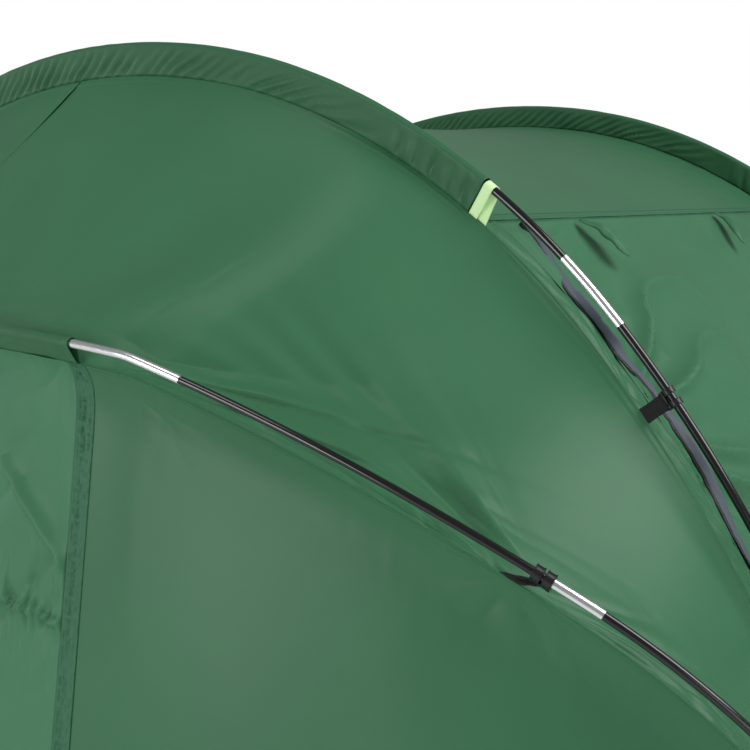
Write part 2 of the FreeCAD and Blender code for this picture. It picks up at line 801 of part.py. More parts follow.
# ---------------------------------------------------------------- check and write
for item in doc.Objects:
    if "Invalid" in item.State or "Error" in item.State:
        raise RuntimeError("%s did not recompute" % item.Name)
for label, item in sorted(nodes.items()):
    shape = item.Shape
    if shape.isNull() or not shape.isValid() or not shape.Solids:
        raise RuntimeError("%s has no valid solid" % label)
    shape.exportStep("parts/%s.step" % label)
    low, high = shape.BoundBox.XMin, shape.BoundBox.XMax
    print("%-24s %2d solids %9.1f cm3  x %7.1f %7.1f" % (
        label, len(shape.Solids), shape.Volume / 1000, low, high))
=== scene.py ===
"""The looks of a low hoop tent: taut coated cloth over bent poles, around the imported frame."""
import math

import bmesh
import bpy
import numpy as np
from mathutils import Matrix, Vector


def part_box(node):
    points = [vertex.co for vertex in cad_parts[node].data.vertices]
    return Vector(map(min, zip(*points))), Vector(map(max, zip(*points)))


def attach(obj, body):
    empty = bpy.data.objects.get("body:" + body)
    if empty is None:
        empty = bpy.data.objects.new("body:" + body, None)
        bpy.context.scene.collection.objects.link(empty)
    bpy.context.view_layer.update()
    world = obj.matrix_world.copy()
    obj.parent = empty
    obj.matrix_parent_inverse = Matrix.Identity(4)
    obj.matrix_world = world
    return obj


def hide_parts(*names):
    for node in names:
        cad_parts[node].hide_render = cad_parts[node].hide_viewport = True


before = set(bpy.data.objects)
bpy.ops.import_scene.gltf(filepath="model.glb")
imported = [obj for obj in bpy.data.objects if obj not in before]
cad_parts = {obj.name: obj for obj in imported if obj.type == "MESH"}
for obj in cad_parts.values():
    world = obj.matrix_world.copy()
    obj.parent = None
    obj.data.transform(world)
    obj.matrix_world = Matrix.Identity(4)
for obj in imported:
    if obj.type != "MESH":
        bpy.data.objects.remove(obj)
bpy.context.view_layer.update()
SHELTER = "shelter"
MM = 0.001
SIDES = {"right": 1, "left": -1}


# ---------------------------------------------------------------- hoops, as the frame's poles lie
class Hoop:
    """A pole bent into smooth arcs, measured along itself from the crest, positive to the right."""

    def __init__(self, arcs, crest, foot_y, lean, pole, drop):
        self.foot_y, self.pole, self.drop = foot_y, pole, drop
        self.up = np.array([0, math.sin(math.radians(lean)), math.cos(math.radians(lean))])
        self.front = np.cross([1, 0, 0], self.up)
        place, heading, run = (0.0, crest), 0.0, 0.0
        self.starts, self.centres, self.radii, self.headings = [], [], [], []
        for radius, degrees in arcs:
            turn = math.radians(degrees)
            centre = (place[0] - radius * math.sin(heading), place[1] - radius * math.cos(heading))
            self.starts.append(run)
            self.centres.append(centre)
            self.radii.append(radius)
            self.headings.append(heading)
            heading += turn
            run += radius * turn
            place = (centre[0] + radius * math.sin(heading), centre[1] + radius * math.cos(heading))
        self.half = run

    def _turned(self, run):
        run = np.asarray(run, float)
        which = np.clip(np.searchsorted(self.starts, np.abs(run) + 1e-9) - 1, 0, len(self.starts) - 1)
        radius = np.take(self.radii, which)
        heading = np.take(self.headings, which) + (np.abs(run) - np.take(self.starts, which)) / radius
        side = np.where(run >= 0, 1.0, -1.0)
        return np.take(self.centres, which, axis=0), radius, heading, side

    def point(self, run, drop=0.0, ahead=0.0):
        """Places on the pole's centre line, moved in by drop and forwards by ahead."""
        centre, radius, heading, side = self._turned(run)
        reach = radius - drop
        x = side * (centre[..., 0] + reach * np.sin(heading))
        z = centre[..., 1] + reach * np.cos(heading)
        base = np.array([0, self.foot_y, 0])
        ahead = np.asarray(ahead, float)[..., None]
        return base + x[..., None] * np.array([1.0, 0, 0]) + z[..., None] * self.up + ahead * self.front

    def outward(self, run):
        _, _, heading, side = self._turned(run)
        x = (side * np.sin(heading))[..., None] * np.array([1.0, 0, 0])
        return x + np.cos(heading)[..., None] * self.up

    def along(self, run):
        _, _, heading, side = self._turned(run)
        x = np.cos(heading)[..., None] * np.array([1.0, 0, 0])
        return x - (side * np.sin(heading))[..., None] * self.up

    def seat(self, run):
        """A matrix on the pole: x along it, z out of it, y forwards or back."""
        x, z = self.along(run), self.outward(run)
        y = np.cross(z, x)
        place = self.point(run)
        return Matrix([[x[i], y[i], z[i], place[i]] for i in range(3)] + [[0, 0, 0, 1]])

    def run_at_height(self, drop, height):
        """How far along the pole the cloth at this drop comes down to this height."""
        low, high = self.half - 0.15, self.half + 0.06
        for _ in range(40):
            middle = (low + high) / 2
            if self.point(middle, drop)[2] > height:
                low = middle
            else:
                high = middle
        return low

    def run_at_x(self, x, drop):
        low, high = 0.0, self.half
        for _ in range(40):
            middle = (low + high) / 2
            if self.point(middle, drop)[0] < x:
                low = middle
            else:
                high = middle
        return low


MAIN_ARCS = [(1.415, 9.88), (1.164, 38.85), (1.742, 28.84)]
PORCH_ARCS = [(3.888, 6.31), (0.150, 10.56), (2.745, 12.68), (0.679, 58.11)]
MAIN_CREST, PORCH_CREST = 1.194, 0.853
MAIN_DROP, PORCH_DROP = 0.045, 0.030
MAIN_POLE, PORCH_POLE = 0.0055, 0.005
BAY = sum(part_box("rear_crown_pole")[i].y for i in (0, 1)) / 2
PORCH_AHEAD = 0.047
HOOPS = {
    "porch": Hoop(PORCH_ARCS, PORCH_CREST, -PORCH_AHEAD, -24.32, PORCH_POLE, PORCH_DROP),
    "front": Hoop(MAIN_ARCS, MAIN_CREST, 0, -2.11, MAIN_POLE, MAIN_DROP),
    "rear": Hoop(MAIN_ARCS, MAIN_CREST, BAY, 0, MAIN_POLE, MAIN_DROP),
    "tail": Hoop(PORCH_ARCS, PORCH_CREST, BAY + PORCH_AHEAD, 24.32, PORCH_POLE, PORCH_DROP),
}
MAIN_SLEEVE_END, PORCH_SLEEVE_END = 0.780, 0.345
CLIPS = {"porch": [1.013, 1.400], "front": [1.142, 1.440, 1.760]}
CLIPS["tail"], CLIPS["rear"] = CLIPS["porch"], CLIPS["front"]
HEADER, REAR_HEADER = 0.802, 0.764
JAMB, DOOR_ROOM = 0.034, 0.002
DOOR_HALF, ZIP_FLAP = 0.320, 0.020
CLOTH = 0.7 * MM
ROOF_SAG = 0.040
TUCK_DOWN, TUCK_IN = 0.055, 0.022
# where each low hoop's webbing tabs are sewn to the seam: a little nearer the crest than their clips
TAB_FOOT = {"porch": [0.980, 1.375]}
TAB_FOOT["tail"] = TAB_FOOT["porch"]
WALL_FRONT, CORNER_START, CORNER_WIDTH, CORNER_DEPTH = 0.460, 0.450, 0.880, 0.410


# ---------------------------------------------------------------- smooth noise and folds
def soft_noise(x, y, seed):
    """Smooth noise from -1 to 1, one hill about every unit in x and y."""
    table = np.random.default_rng(seed).uniform(-1, 1, (256, 256))
    x, y = np.broadcast_arrays(np.asarray(x, float), np.asarray(y, float))
    left, low = np.floor(x).astype(int), np.floor(y).astype(int)
    fx, fy = x - left, y - low
    fx, fy = fx * fx * (3 - 2 * fx), fy * fy * (3 - 2 * fy)

    def corner(i, j):
        return table[(left + i) % 256, (low + j) % 256]

    bottom = corner(0, 0) * (1 - fx) + corner(1, 0) * fx
    top = corner(0, 1) * (1 - fx) + corner(1, 1) * fx
    return bottom * (1 - fy) + top * fy


def creased(x, y, seed, sharp=0.75):
    """Rounded ridges between narrow valleys, about nothing on the whole."""
    return np.abs(soft_noise(x, y, seed)) ** sharp * 2.2 - 1.0


def gathers(along, away, seed, height, pitch=0.020, reach=0.035, slant=0.0):
    """Short puckers that run off a seam and die out: along is by the seam, away is from it."""
    away = np.maximum(away, 0)
    run = (along + slant * away) / pitch
    wave = 0.7 * creased(run, away / (2.5 * reach), seed)
    wave = wave + 0.5 * soft_noise(2.1 * run, away / reach, seed + 1)
    patchy = 0.55 + 0.45 * soft_noise(along / 0.11, away / 0.2, seed + 2)
    return height * wave * patchy * np.exp(-away / reach) * (1 - np.exp(-away / 0.002))


def seam_crease(away, deep=0.0014, wide=0.0030):
    """The small valley where cloth is turned under a seam: nothing at the seam itself."""
    away = np.maximum(away, 0) / wide
    return deep * away * np.exp(1 - away)


def pull(along, away, spot, seed, slope, reach, spokes=5.0, stretch=2.2, sides=(1, 1)):
    """Tension folds that fan out over a sheet from a pulled spot on its seam, closest beside the seam."""
    run = (along - spot) / stretch
    distance = np.hypot(run, away)
    angle = np.arctan2(np.maximum(away, 0), run)
    angle = angle + 0.38 * np.sin(2 * angle)
    wave = creased(angle * spokes, distance / reach * 1.1, seed)
    strength = np.where(run > 0, sides[0], sides[1])
    fade = np.exp(-(distance / reach) ** 2) * away / (np.abs(away) + 0.0015)
    return slope * distance * wave * fade * strength


def normals_of(points):
    """The surface's normal at every point of a grid of points."""
    across = np.gradient(points, axis=0)
    down = np.gradient(points, axis=1)
    normal = np.cross(across, down)
    return normal / np.maximum(np.linalg.norm(normal, axis=-1, keepdims=True), 1e-12)


def pushed(points, height, outward):
    """The grid moved along its normals, which are turned to the outward side first."""
    normal = normals_of(points)
    sign = np.sign(np.sum(normal * outward, axis=-1, keepdims=True))
    sign[sign == 0] = 1
    return points + normal * sign * height[..., None]


def grid_area(points):
    across = points[1:, :-1] - points[:-1, :-1]
    down = points[:-1, 1:] - points[:-1, :-1]
    return float(np.linalg.norm(np.cross(across, down), axis=-1).sum())


def lerp(a, b, share):
    return a + (b - a) * share


def crowded(count, near=0.0, far=0.0, reach=0.06):
    """Shares from 0 to 1 that lie closer together near either end."""
    t = np.linspace(0, 1, 2001)
    weight = 1 + near * np.exp(-t / reach) + far * np.exp(-(1 - t) / reach)
    total = np.concatenate([[0.0], np.cumsum((weight[1:] + weight[:-1]) / 2)])
    return np.interp(np.linspace(0, total[-1], count), total, t)


def smooth_line(places, values, at):
    """Values at some places, carried smoothly to every place of a finer line."""
    places, values = np.asarray(places, float), np.asarray(values, float)
    slopes = np.gradient(values, places, axis=0)
    i = np.clip(np.searchsorted(places, at) - 1, 0, len(places) - 2)
    step = places[i + 1] - places[i]
    t = np.clip((at - places[i]) / step, 0, 1)
    if values.ndim > 1:
        step, t = step[:, None], t[:, None]
    return ((1 + 2 * t) * (1 - t) ** 2 * values[i] + t * (1 - t) ** 2 * step * slopes[i]
            + t * t * (3 - 2 * t) * values[i + 1] + t * t * (t - 1) * step * slopes[i + 1])


# ---------------------------------------------------------------- meshes
def finish_mesh(name, bm, smooth=True):
    mesh = bpy.data.meshes.new(name)
    bm.to_mesh(mesh)
    bm.free()
    if smooth:
        mesh.shade_smooth()
    thing = bpy.data.objects.new(name, mesh)
    bpy.context.scene.collection.objects.link(thing)
    return thing


def grid_object(name, points):
    """A sheet over a grid of points, with a UV map that holds metres along and across."""
    columns, rows = points.shape[:2]
    bm = bmesh.new()
    bmesh.ops.create_grid(bm, x_segments=columns - 1, y_segments=rows - 1, size=0.5)
    step_u = np.linalg.norm(np.diff(points, axis=0), axis=-1).mean()
    step_v = np.linalg.norm(np.diff(points, axis=1), axis=-1).mean()
    layer = bm.loops.layers.uv.new("UVMap")
    place = {}
    for vert in bm.verts:
        i = round((vert.co.x + 0.5) * (columns - 1))
        j = round((vert.co.y + 0.5) * (rows - 1))
        place[vert] = (i, j)
    for face in bm.faces:
        for loop in face.loops:
            i, j = place[loop.vert]
            loop[layer].uv = (i * step_u, j * step_v)
    for vert, (i, j) in place.items():
        vert.co = points[i, j]
    return finish_mesh(name, bm)


def thicken(thing, thickness, offset=-1.0):
    modifier = thing.modifiers.new("thickness", "SOLIDIFY")
    modifier.thickness = thickness
    modifier.offset = offset
    modifier.use_even_offset = False
    return thing


def face_out(points, outward):
    """The grid, turned over if its faces would look inwards."""
    normal = normals_of(points)
    if float(np.sum(normal * outward)) < 0:
        points = points[::-1]
    return points


def mirrored(points):
    """The same grid on the other side of the tent, still facing outwards."""
    return (points * np.array([-1.0, 1, 1]))[::-1]


def dress(thing, material, body, replaces=()):
    thing.data.materials.clear()
    thing.data.materials.append(material)
    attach(thing, body)
    if replaces:
        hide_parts(*replaces)
    return thing


def sheet_piece(name, points, material, body, replaces, rests_on, thickness=CLOTH):
    """A cloth panel: a grid of points made a thin sheet; its flat size is worked out and then dropped."""
    thing = thicken(grid_object(name, points), thickness)
    dress(thing, material, body, replaces)
    width = float(np.linalg.norm(np.diff(points, axis=0), axis=-1).sum(axis=0).max())
    length = float(np.linalg.norm(np.diff(points, axis=1), axis=-1).sum(axis=1).max())
    min(grid_area(points), width * length)
    return thing


ROD_ROUNDNESS = 5            # how many steps round a quarter of a rod


def sweep(name, line, radius):
    """A round rod along a line of points, with flat ends."""
    curve = bpy.data.curves.new(name, "CURVE")
    curve.dimensions = "3D"
    curve.bevel_depth = radius
    curve.bevel_resolution = ROD_ROUNDNESS
    curve.use_fill_caps = True
    spline = curve.splines.new("POLY")
    spline.points.add(len(line) - 1)
    for point, place in zip(spline.points, line):
        point.co = (*place, 1)
    thing = bpy.data.objects.new(name, curve)
    bpy.context.scene.collection.objects.link(thing)
    mesh = bpy.data.meshes.new_from_object(thing)
    bpy.data.objects.remove(thing)
    mesh.shade_smooth()
    return mesh


def joined(name, meshes):
    """Several meshes as one object."""
    bm = bmesh.new()
    for mesh in meshes:
        bm.from_mesh(mesh)
    return finish_mesh(name, bm)


# ---------------------------------------------------------------- materials
class Value:
    """A shader socket that takes arithmetic: each operation adds its Math node."""

    def __init__(self, finish, socket):
        self.finish, self.socket = finish, socket

    def math(self, operation, first, second):
        return self.finish.add("ShaderNodeMath", {"operation": operation}, {0: first, 1: second})

    def __add__(self, other):
        return self.math("ADD", self, other)

    def __radd__(self, other):
        return self.math("ADD", other, self)

    def __sub__(self, other):
        return self.math("SUBTRACT", self, other)

    def __rsub__(self, other):
        return self.math("SUBTRACT", other, self)

    def __mul__(self, other):
        return self.math("MULTIPLY", self, other)

    def __rmul__(self, other):
        return self.math("MULTIPLY", other, self)

    def __truediv__(self, other):
        return self.math("DIVIDE", self, other)

    def __lt__(self, other):
        return self.math("LESS_THAN", self, other)

    def __gt__(self, other):
        return self.math("GREATER_THAN", self, other)

    def sine(self):
        return self.finish.add("ShaderNodeMath", {"operation": "SINE"}, {0: self})

    def size(self):
        return self.finish.add("ShaderNodeMath", {"operation": "ABSOLUTE"}, {0: self})

    def wrapped(self):
        return self.finish.add("ShaderNodeMath", {"operation": "FRACT"}, {0: self})

    def clipped(self):
        return self.finish.add("ShaderNodeClamp", {}, {0: self, 1: 0.0, 2: 1.0})


class Finish:
    """One material, built from nodes around a Principled shader."""

    def __init__(self, name, colour, roughness, metallic=0.0):
        self.material = bpy.data.materials.new(name)
        self.material.use_nodes = True
        self.tree = self.material.node_tree
        self.shader = self.tree.nodes["Principled BSDF"]
        self.colour = (*colour, 1.0)
        self.put("Base Color", self.colour)
        self.put("Roughness", roughness)
        self.put("Metallic", metallic)

    def add(self, kind, settings, inputs, out=0):
        """A node of that type; settings first, then the values or links of its sockets."""
        node = self.tree.nodes.new(kind)
        for key, value in settings.items():
            if key == "stops":
                ramp = node.color_ramp
                while len(ramp.elements) < len(value):
                    ramp.elements.new(0.5)
                for element, (place, colour) in zip(ramp.elements, value):
                    element.position, element.color = place, colour
            else:
                setattr(node, key, value)
        for key, value in inputs.items():
            self._feed(node.inputs[key], value)
        return Value(self, node.outputs[out])

    def _feed(self, socket, value):
        if isinstance(value, Value):
            self.tree.links.new(value.socket, socket)
        else:
            socket.default_value = value

    def put(self, name, value):
        self._feed(self.shader.inputs[name], value)
        return self

    def place(self):
        return self.add("ShaderNodeTexCoord", {}, {}, "Object")

    def flat_place(self):
        return self.add("ShaderNodeTexCoord", {}, {}, "UV")

    def parts(self, vector):
        node = self.add("ShaderNodeSeparateXYZ", {}, {0: vector}).socket.node
        return [Value(self, socket) for socket in node.outputs]

    def stretched(self, vector, scale):
        return self.add("ShaderNodeMapping", {}, {"Vector": vector, "Scale": scale})

    def noise(self, vector, scale, detail=3.0, roughness=0.5, distortion=0.0):
        return self.add("ShaderNodeTexNoise", {}, {
            "Vector": vector, "Scale": scale, "Detail": detail,
            "Roughness": roughness, "Distortion": distortion})

    def mix(self, share, first, second):
        return self.add("ShaderNodeMix", {"data_type": "RGBA"}, {0: share, 6: first, 7: second}, 2)

    def shade(self, share, dark, light):
        """The base colour, from dark times it to light times it as share goes from 0 to 1."""
        tones = [tuple(min(1.0, c * k) for c in self.colour[:3]) + (1.0,) for k in (dark, light)]
        return self.mix(share, *tones)

    def bump(self, height, distance, strength=1.0, normal=None):
        inputs = {"Height": height, "Distance": distance, "Strength": strength}
        if normal is not None:
            inputs["Normal"] = normal
        return self.add("ShaderNodeBump", {}, inputs)


def cloth_finish(name, colour, roughness=0.40, seam_rows=()):
    """Coated polyester taffeta: a soft gleam, a fine even weave and faint packing creases."""
    finish = Finish(name, colour, roughness)
    place = finish.place()
    mottle = finish.noise(place, 3.5, 4.0, 0.55)
    weave = finish.noise(place, 900.0, 1.0)
    tone = finish.shade((mottle * 1.6 - 0.3).clipped(), 0.90, 1.10)
    creases = finish.noise(place, 16.0, 2.0, 0.5, 0.6)
    slubs = finish.noise(finish.stretched(place, (30.0, 30.0, 400.0)), 1.0, 2.0)
    height = creases * 0.6 + weave * 0.06 + slubs * 0.05
    if seam_rows:
        across = finish.parts(finish.flat_place())
        for row in seam_rows:
            line = ((across[1] - row).size() < 0.0006) * ((across[0] / 0.0042).wrapped() < 0.62)
            tone = finish.mix(line * 0.55, tone, (*[c * 0.4 for c in colour], 1.0))
            height = height + line * 0.5
    finish.put("Base Color", tone)
    finish.put("Roughness", mottle * 0.10 + (roughness - 0.05))
    finish.put("Normal", finish.bump(height, 0.0010, 0.5))
    finish.shader.inputs["Specular IOR Level"].default_value = 0.22
    return finish.material


def rod_finish():
    """Gloss black lacquer over glass fibre, with faint scuffs."""
    finish = Finish("gloss_black_rod", (0.0025, 0.0025, 0.003), 0.14)
    scuff = finish.noise(finish.place(), 360.0, 3.0)
    finish.put("Base Color", finish.shade(scuff, 0.6, 2.2))
    finish.put("Roughness", scuff * 0.14 + 0.08)
    finish.put("Normal", finish.bump(scuff, 0.0001, 0.15))
    finish.shader.inputs["Coat Weight"].default_value = 0.25
    finish.shader.inputs["Coat Roughness"].default_value = 0.08
    return finish.material


def steel_finish():
    """Bright zinc plate on steel tube, a little clouded, with small rubs."""
    finish = Finish("bright_zinc_steel", (0.93, 0.94, 0.95), 0.2, 1.0)
    place = finish.place()
    rubs = finish.noise(place, 160.0, 4.0)
    cloud = finish.noise(place, 26.0, 2.0)
    finish.put("Base Color", finish.shade(cloud, 0.88, 1.06))
    finish.put("Roughness", rubs * 0.10 + 0.20)
    return finish.material


def plastic_finish(name, colour, roughness):
    """Moulded plastic with a light spark-eroded grain."""
    finish = Finish(name, colour, roughness)
    grain = finish.noise(finish.place(), 1800.0, 2.0)
    finish.put("Base Color", finish.shade(finish.noise(finish.place(), 90.0, 2.0), 0.8, 1.4))
    finish.put("Roughness", grain * 0.14 + (roughness - 0.07))
    finish.put("Normal", finish.bump(grain, 0.0002, 0.5))
    return finish.material


def webbing_finish(name, colour, gloss=0.55, painted_glow=0.0):
    """Flat woven webbing: rows of ribs across it, seen in its own map; a painted glow can lift a bright
    colour above what the lamps give it.
    """
    finish = Finish(name, colour, gloss)
    along, across, _ = finish.parts(finish.flat_place())
    ribs = (along * (2 * math.pi / 0.0022)).sine() * (across * (2 * math.pi / 0.0018)).sine()
    fuzz = finish.noise(finish.place(), 700.0, 3.0)
    finish.put("Base Color", finish.shade((ribs * 0.3 + fuzz * 0.7).clipped(), 0.75, 1.12))
    finish.put("Roughness", fuzz * 0.2 + (gloss - 0.1))
    finish.put("Normal", finish.bump(ribs * 0.5 + fuzz * 0.3, 0.0004, 0.6))
    # the emission is painted light: a glow in the webbing's own colour, where there is no lamp
    finish.put("Emission Color", finish.colour)
    finish.shader.inputs["Emission Strength"].default_value = painted_glow
    return finish.material


def ribbon_finish():
    """Grey zip tape with its black coil along one edge."""
    finish = Finish("grey_zip_ribbon", (0.080, 0.100, 0.128), 0.5)
    along, across, _ = finish.parts(finish.flat_place())
    coil = across < 0.0050
    teeth = (along * (2 * math.pi / 0.0016)).sine()
    weave = (along * (2 * math.pi / 0.0011)).sine() * (across * (2 * math.pi / 0.0013)).sine()
    fuzz = finish.noise(finish.place(), 500.0, 3.0)
    tape = finish.shade((weave * 0.2 + fuzz).clipped(), 0.7, 1.15)
    finish.put("Base Color", finish.mix(coil, tape, (0.006, 0.006, 0.007, 1.0)))
    finish.put("Roughness", 0.62 - coil * 0.25)
    finish.put("Normal", finish.bump(weave * 0.3 + coil * teeth * 0.7, 0.0004, 0.5))
    return finish.material


def floor_sheet_finish():
    """Woven polyethylene floor: flat tapes crossing, waxy."""
    finish = Finish("woven_floor_sheet", (0.055, 0.075, 0.065), 0.45)
    x, y, _ = finish.parts(finish.place())
    tapes = (x * (2 * math.pi / 0.006)).sine() * (y * (2 * math.pi / 0.006)).sine()
    wear = finish.noise(finish.place(), 5.0, 4.0)
    finish.put("Base Color", finish.shade((tapes * 0.2 + wear).clipped(), 0.75, 1.2))
    finish.put("Roughness", wear * 0.2 + 0.36)
    finish.put("Normal", finish.bump(tapes, 0.0003, 0.4))
    return finish.material


SHELL = cloth_finish("shell_cloth", (0.044, 0.158, 0.076))
# both door cloths are the shell cloth painted lighter: painted light for door panels that face the lamps
DOOR_CLOTH_PAINTED_LIGHT = cloth_finish("door_cloth", (0.050, 0.170, 0.086), 0.48)
FRONT_DOOR_CLOTH_PAINTED_LIGHT = cloth_finish("front_door_cloth", (0.057, 0.194, 0.098), 0.48)
# the sleeve cloth is the shell cloth painted darker: painted shade for the sleeves' bands, which face away
# from the light
SLEEVE_CLOTH_PAINTED_SHADE = cloth_finish("sleeve_cloth", (0.034, 0.132, 0.060), 0.42)
STRIP = cloth_finish("stitched_strip_cloth", (0.041, 0.150, 0.078), 0.52, (0.0051, 0.0109, 0.0211, 0.0269))
ROD = rod_finish()
STEEL = steel_finish()
BLACK_PLASTIC = plastic_finish("moulded_black_plastic", (0.005, 0.005, 0.0055), 0.30)
BLACK_WEBBING = webbing_finish("black_webbing", (0.004, 0.004, 0.0045), 0.75)
# the lime webbing's 0.16 glow is painted light that brightens it beyond what the lamps give
LIME_WEBBING = webbing_finish("lime_webbing", (0.68, 1.0, 0.50), 0.6, 0.16)
RIBBON_FINISH = ribbon_finish()
SLIDER = plastic_finish("black_painted_zinc", (0.018, 0.018, 0.018), 0.28)
FLOOR_SHEET = floor_sheet_finish()


# ---------------------------------------------------------------- poles and metal
def make_rods():
    """Smooth round rods where the frame's pole pieces lie."""
    pieces = {
        "front": [(-0.3265, 0.3265), (0.3275, 0.9805), (0.9815, 1.6325), (1.6335, None)],
        "porch": [(-0.392, 0.392), (0.477, 1.0495), (1.0505, 1.5545), (1.5555, None)],
    }
    for name, hoop in HOOPS.items():
        spans = pieces["porch" if name in ("porch", "tail") else "front"]
        for index, (start, end) in enumerate(spans):
            end = hoop.half - 0.0225 if end is None else end
            line = hoop.point(np.linspace(start, end, max(12, int((end - start) / 0.012))))
            mesh = sweep("rod", line, hoop.pole)
            if index == 0:
                rod = joined(name + "_crown_rod", [mesh])
                dress(rod, ROD, SHELTER, [name + "_crown_pole"])
                continue
            for side, sign in SIDES.items():
                part = mesh.copy()
                if sign < 0:
                    part.transform(Matrix.Scale(-1, 4, (1, 0, 0)))
                    part.flip_normals()
                label = "%s_rod_%d_%s" % (name, index, side)
                dress(joined(label, [part]), ROD, SHELTER, ["%s_poles_%s" % (name, side)])


for node_name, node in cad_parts.items():
    finishes = [("_ferrules", STEEL), ("_elbows", STEEL), ("foot_pins", STEEL), ("zip_slider", SLIDER),
                ("zip_pull", SLIDER)]
    for ending, material in finishes:
        if ending in node_name:
            node.data.materials.clear()
            node.data.materials.append(material)


# ---------------------------------------------------------------- cloth between the hoops
UP = np.array([0.0, 0.0, 1.0])


def outward_from(points):
    """The way out of the tent at each point, from a line low inside it."""
    return points - np.array([0.0, BAY / 2, 0.15])


def between(a, b, runs_a, runs_b, shares):
    """A grid of cloth from hoop a to hoop b."""
    near = a.point(runs_a, a.drop)[:, None]
    far = b.point(runs_b, b.drop)[:, None]
    return near + (far - near) * np.asarray(shares)[None, :, None]


def held_edges(*aways):
    """Nothing at the seams, and all of it a few centimetres away from every one."""
    mask = 1.0
    for away in aways:
        mask = mask * (1 - np.exp(-np.maximum(away, 0) / 0.03))
    return mask


# the soft ridge over each end roof: ways towards the middle of the tent, and its distance to the side
ROOF_RIDGE = [-0.40, -0.314, -0.24, -0.139, -0.074, 0.02], [0.32, 0.450, 0.565, 0.660, 0.700, 0.740]
ROOF_RIDGE_WIDTH, ROOF_RIDGE_HEIGHT = 0.110, 0.0205
END_ROOF_SAG = 0.030         # as a share of the panel's width


def make_end_roof(name, low, high, start, end, seed, columns, rows):
    """A taut panel between the low hoop and the high one, over one stretch of their length."""
    limits = [hoop.run_at_height(hoop.drop, 0.006) for hoop in (low, high)]
    part = np.linspace(0, 1, columns)[:, None]
    runs_low = (start[0] + (end[0] - start[0]) * part[:, 0]) * limits[0]
    runs_high = (start[1] + (end[1] - start[1]) * part[:, 0]) * limits[1]
    shares = crowded(rows, 7.0, 2.5, 0.09)
    points = between(low, high, runs_low, runs_high, shares)
    width = np.linalg.norm(points[:, -1] - points[:, 0], axis=-1)[:, None]
    from_low, from_high = shares[None, :] * width, (1 - shares)[None, :] * width
    by_low = np.broadcast_to(runs_low[:, None], from_low.shape)
    by_high = np.broadcast_to(runs_high[:, None], from_low.shape)
    open_cloth = held_edges(from_low, from_high)
    height = -END_ROOF_SAG * width * 4 * (shares * (1 - shares))[None, :]
    ahead = np.minimum(points[..., 1], BAY - points[..., 1])
    for side in (1, -1):
        # a soft ridge and hollow that slant from the sleeve's end up to the hoop's shoulder
        ridge = smooth_line(*ROOF_RIDGE, ahead.ravel()).reshape(ahead.shape)
        off = (side * points[..., 0] - ridge) / ROOF_RIDGE_WIDTH
        ridge = np.exp(-((off + 1) / 1.1) ** 2) - np.exp(-(off - 1) ** 2)
        height = height + ROOF_RIDGE_HEIGHT * open_cloth * ridge
    height = height + 0.0045 * open_cloth * soft_noise(by_low * 3.0, from_low * 2.6, seed + 9)
    height = height + gathers(by_high, from_high, seed, 0.0007, 0.022, 0.020)
    height = height + gathers(by_low, from_low, seed + 5, 0.0024, 0.024, 0.034, 1.5)
    for side in (1, -1):
        footward, both = (1, 0.3) if side > 0 else (0.3, 1), (1, 1)
        spots = [(by_low, from_low, PORCH_SLEEVE_END + 0.012, 0.065, 0.13, 5.5, 2.8, footward),
                 (by_low, from_low, TAB_FOOT["porch"][0], 0.060, 0.070, 5.0, 2.8, both),
                 (by_low, from_low, TAB_FOOT["porch"][1], 0.050, 0.08, 5.0, 2.2, both),
                 (by_high, from_high, MAIN_SLEEVE_END + 0.012, 0.008, 0.05, 4.0, 1.6, both)]
        for number, (along, away, spot, *shape) in enumerate(spots):
            height = height + pull(along, away, side * spot, seed + 40 + 2 * number + side, *shape)
    for side in (1, -1):
        # long folds beside the low pole, drawn together where its first clip pulls
        back = TAB_FOOT["porch"][0] - side * by_low
        level = from_low / (0.030 + 0.36 * np.clip(back, 0, 1))
        wave = np.sin(6.5 * level ** 0.8 + 1.2 * soft_noise(back / 0.22, level * 1.5, seed + 90))
        strength = np.clip(back / 0.10, 0, 1) * np.exp(-(back / 0.36) ** 2)
        strength = strength * np.exp(-((level - 0.75) / 0.62) ** 2)
        narrow = np.sin(30 * level ** 0.85 + 2.2 * soft_noise(back / 0.22, level * 2.0, seed + 91))
        narrow = narrow * (0.6 + 0.7 * soft_noise(back / 0.12, level * 3.0, seed + 92))
        fan = np.clip((0.030 + 0.36 * back) / 0.10, 0.3, 1.2)
        height = height + (0.0110 * wave + 0.0052 * fan * narrow) * strength * (1 - np.exp(-from_low / 0.012))
    height = height - seam_crease(from_low) - seam_crease(from_high)
    turned = np.clip((0.011 - from_high) / 0.002, 0, 1) * np.clip((from_high + 0.001) / 0.001, 0, 1)
    height = height + 0.0013 * turned
    outward = outward_from(points)
    points = face_out(pushed(points, height, outward), outward)
    replaced = "porch_roof" if low is HOOPS["porch"] else "rear_roof"
    rests = ["porch_sleeve", "front_sleeve"] if low is HOOPS["porch"] else ["tail_sleeve", "rear_sleeve"]
    return sheet_piece(name, points, SHELL, SHELTER, [replaced], rests)


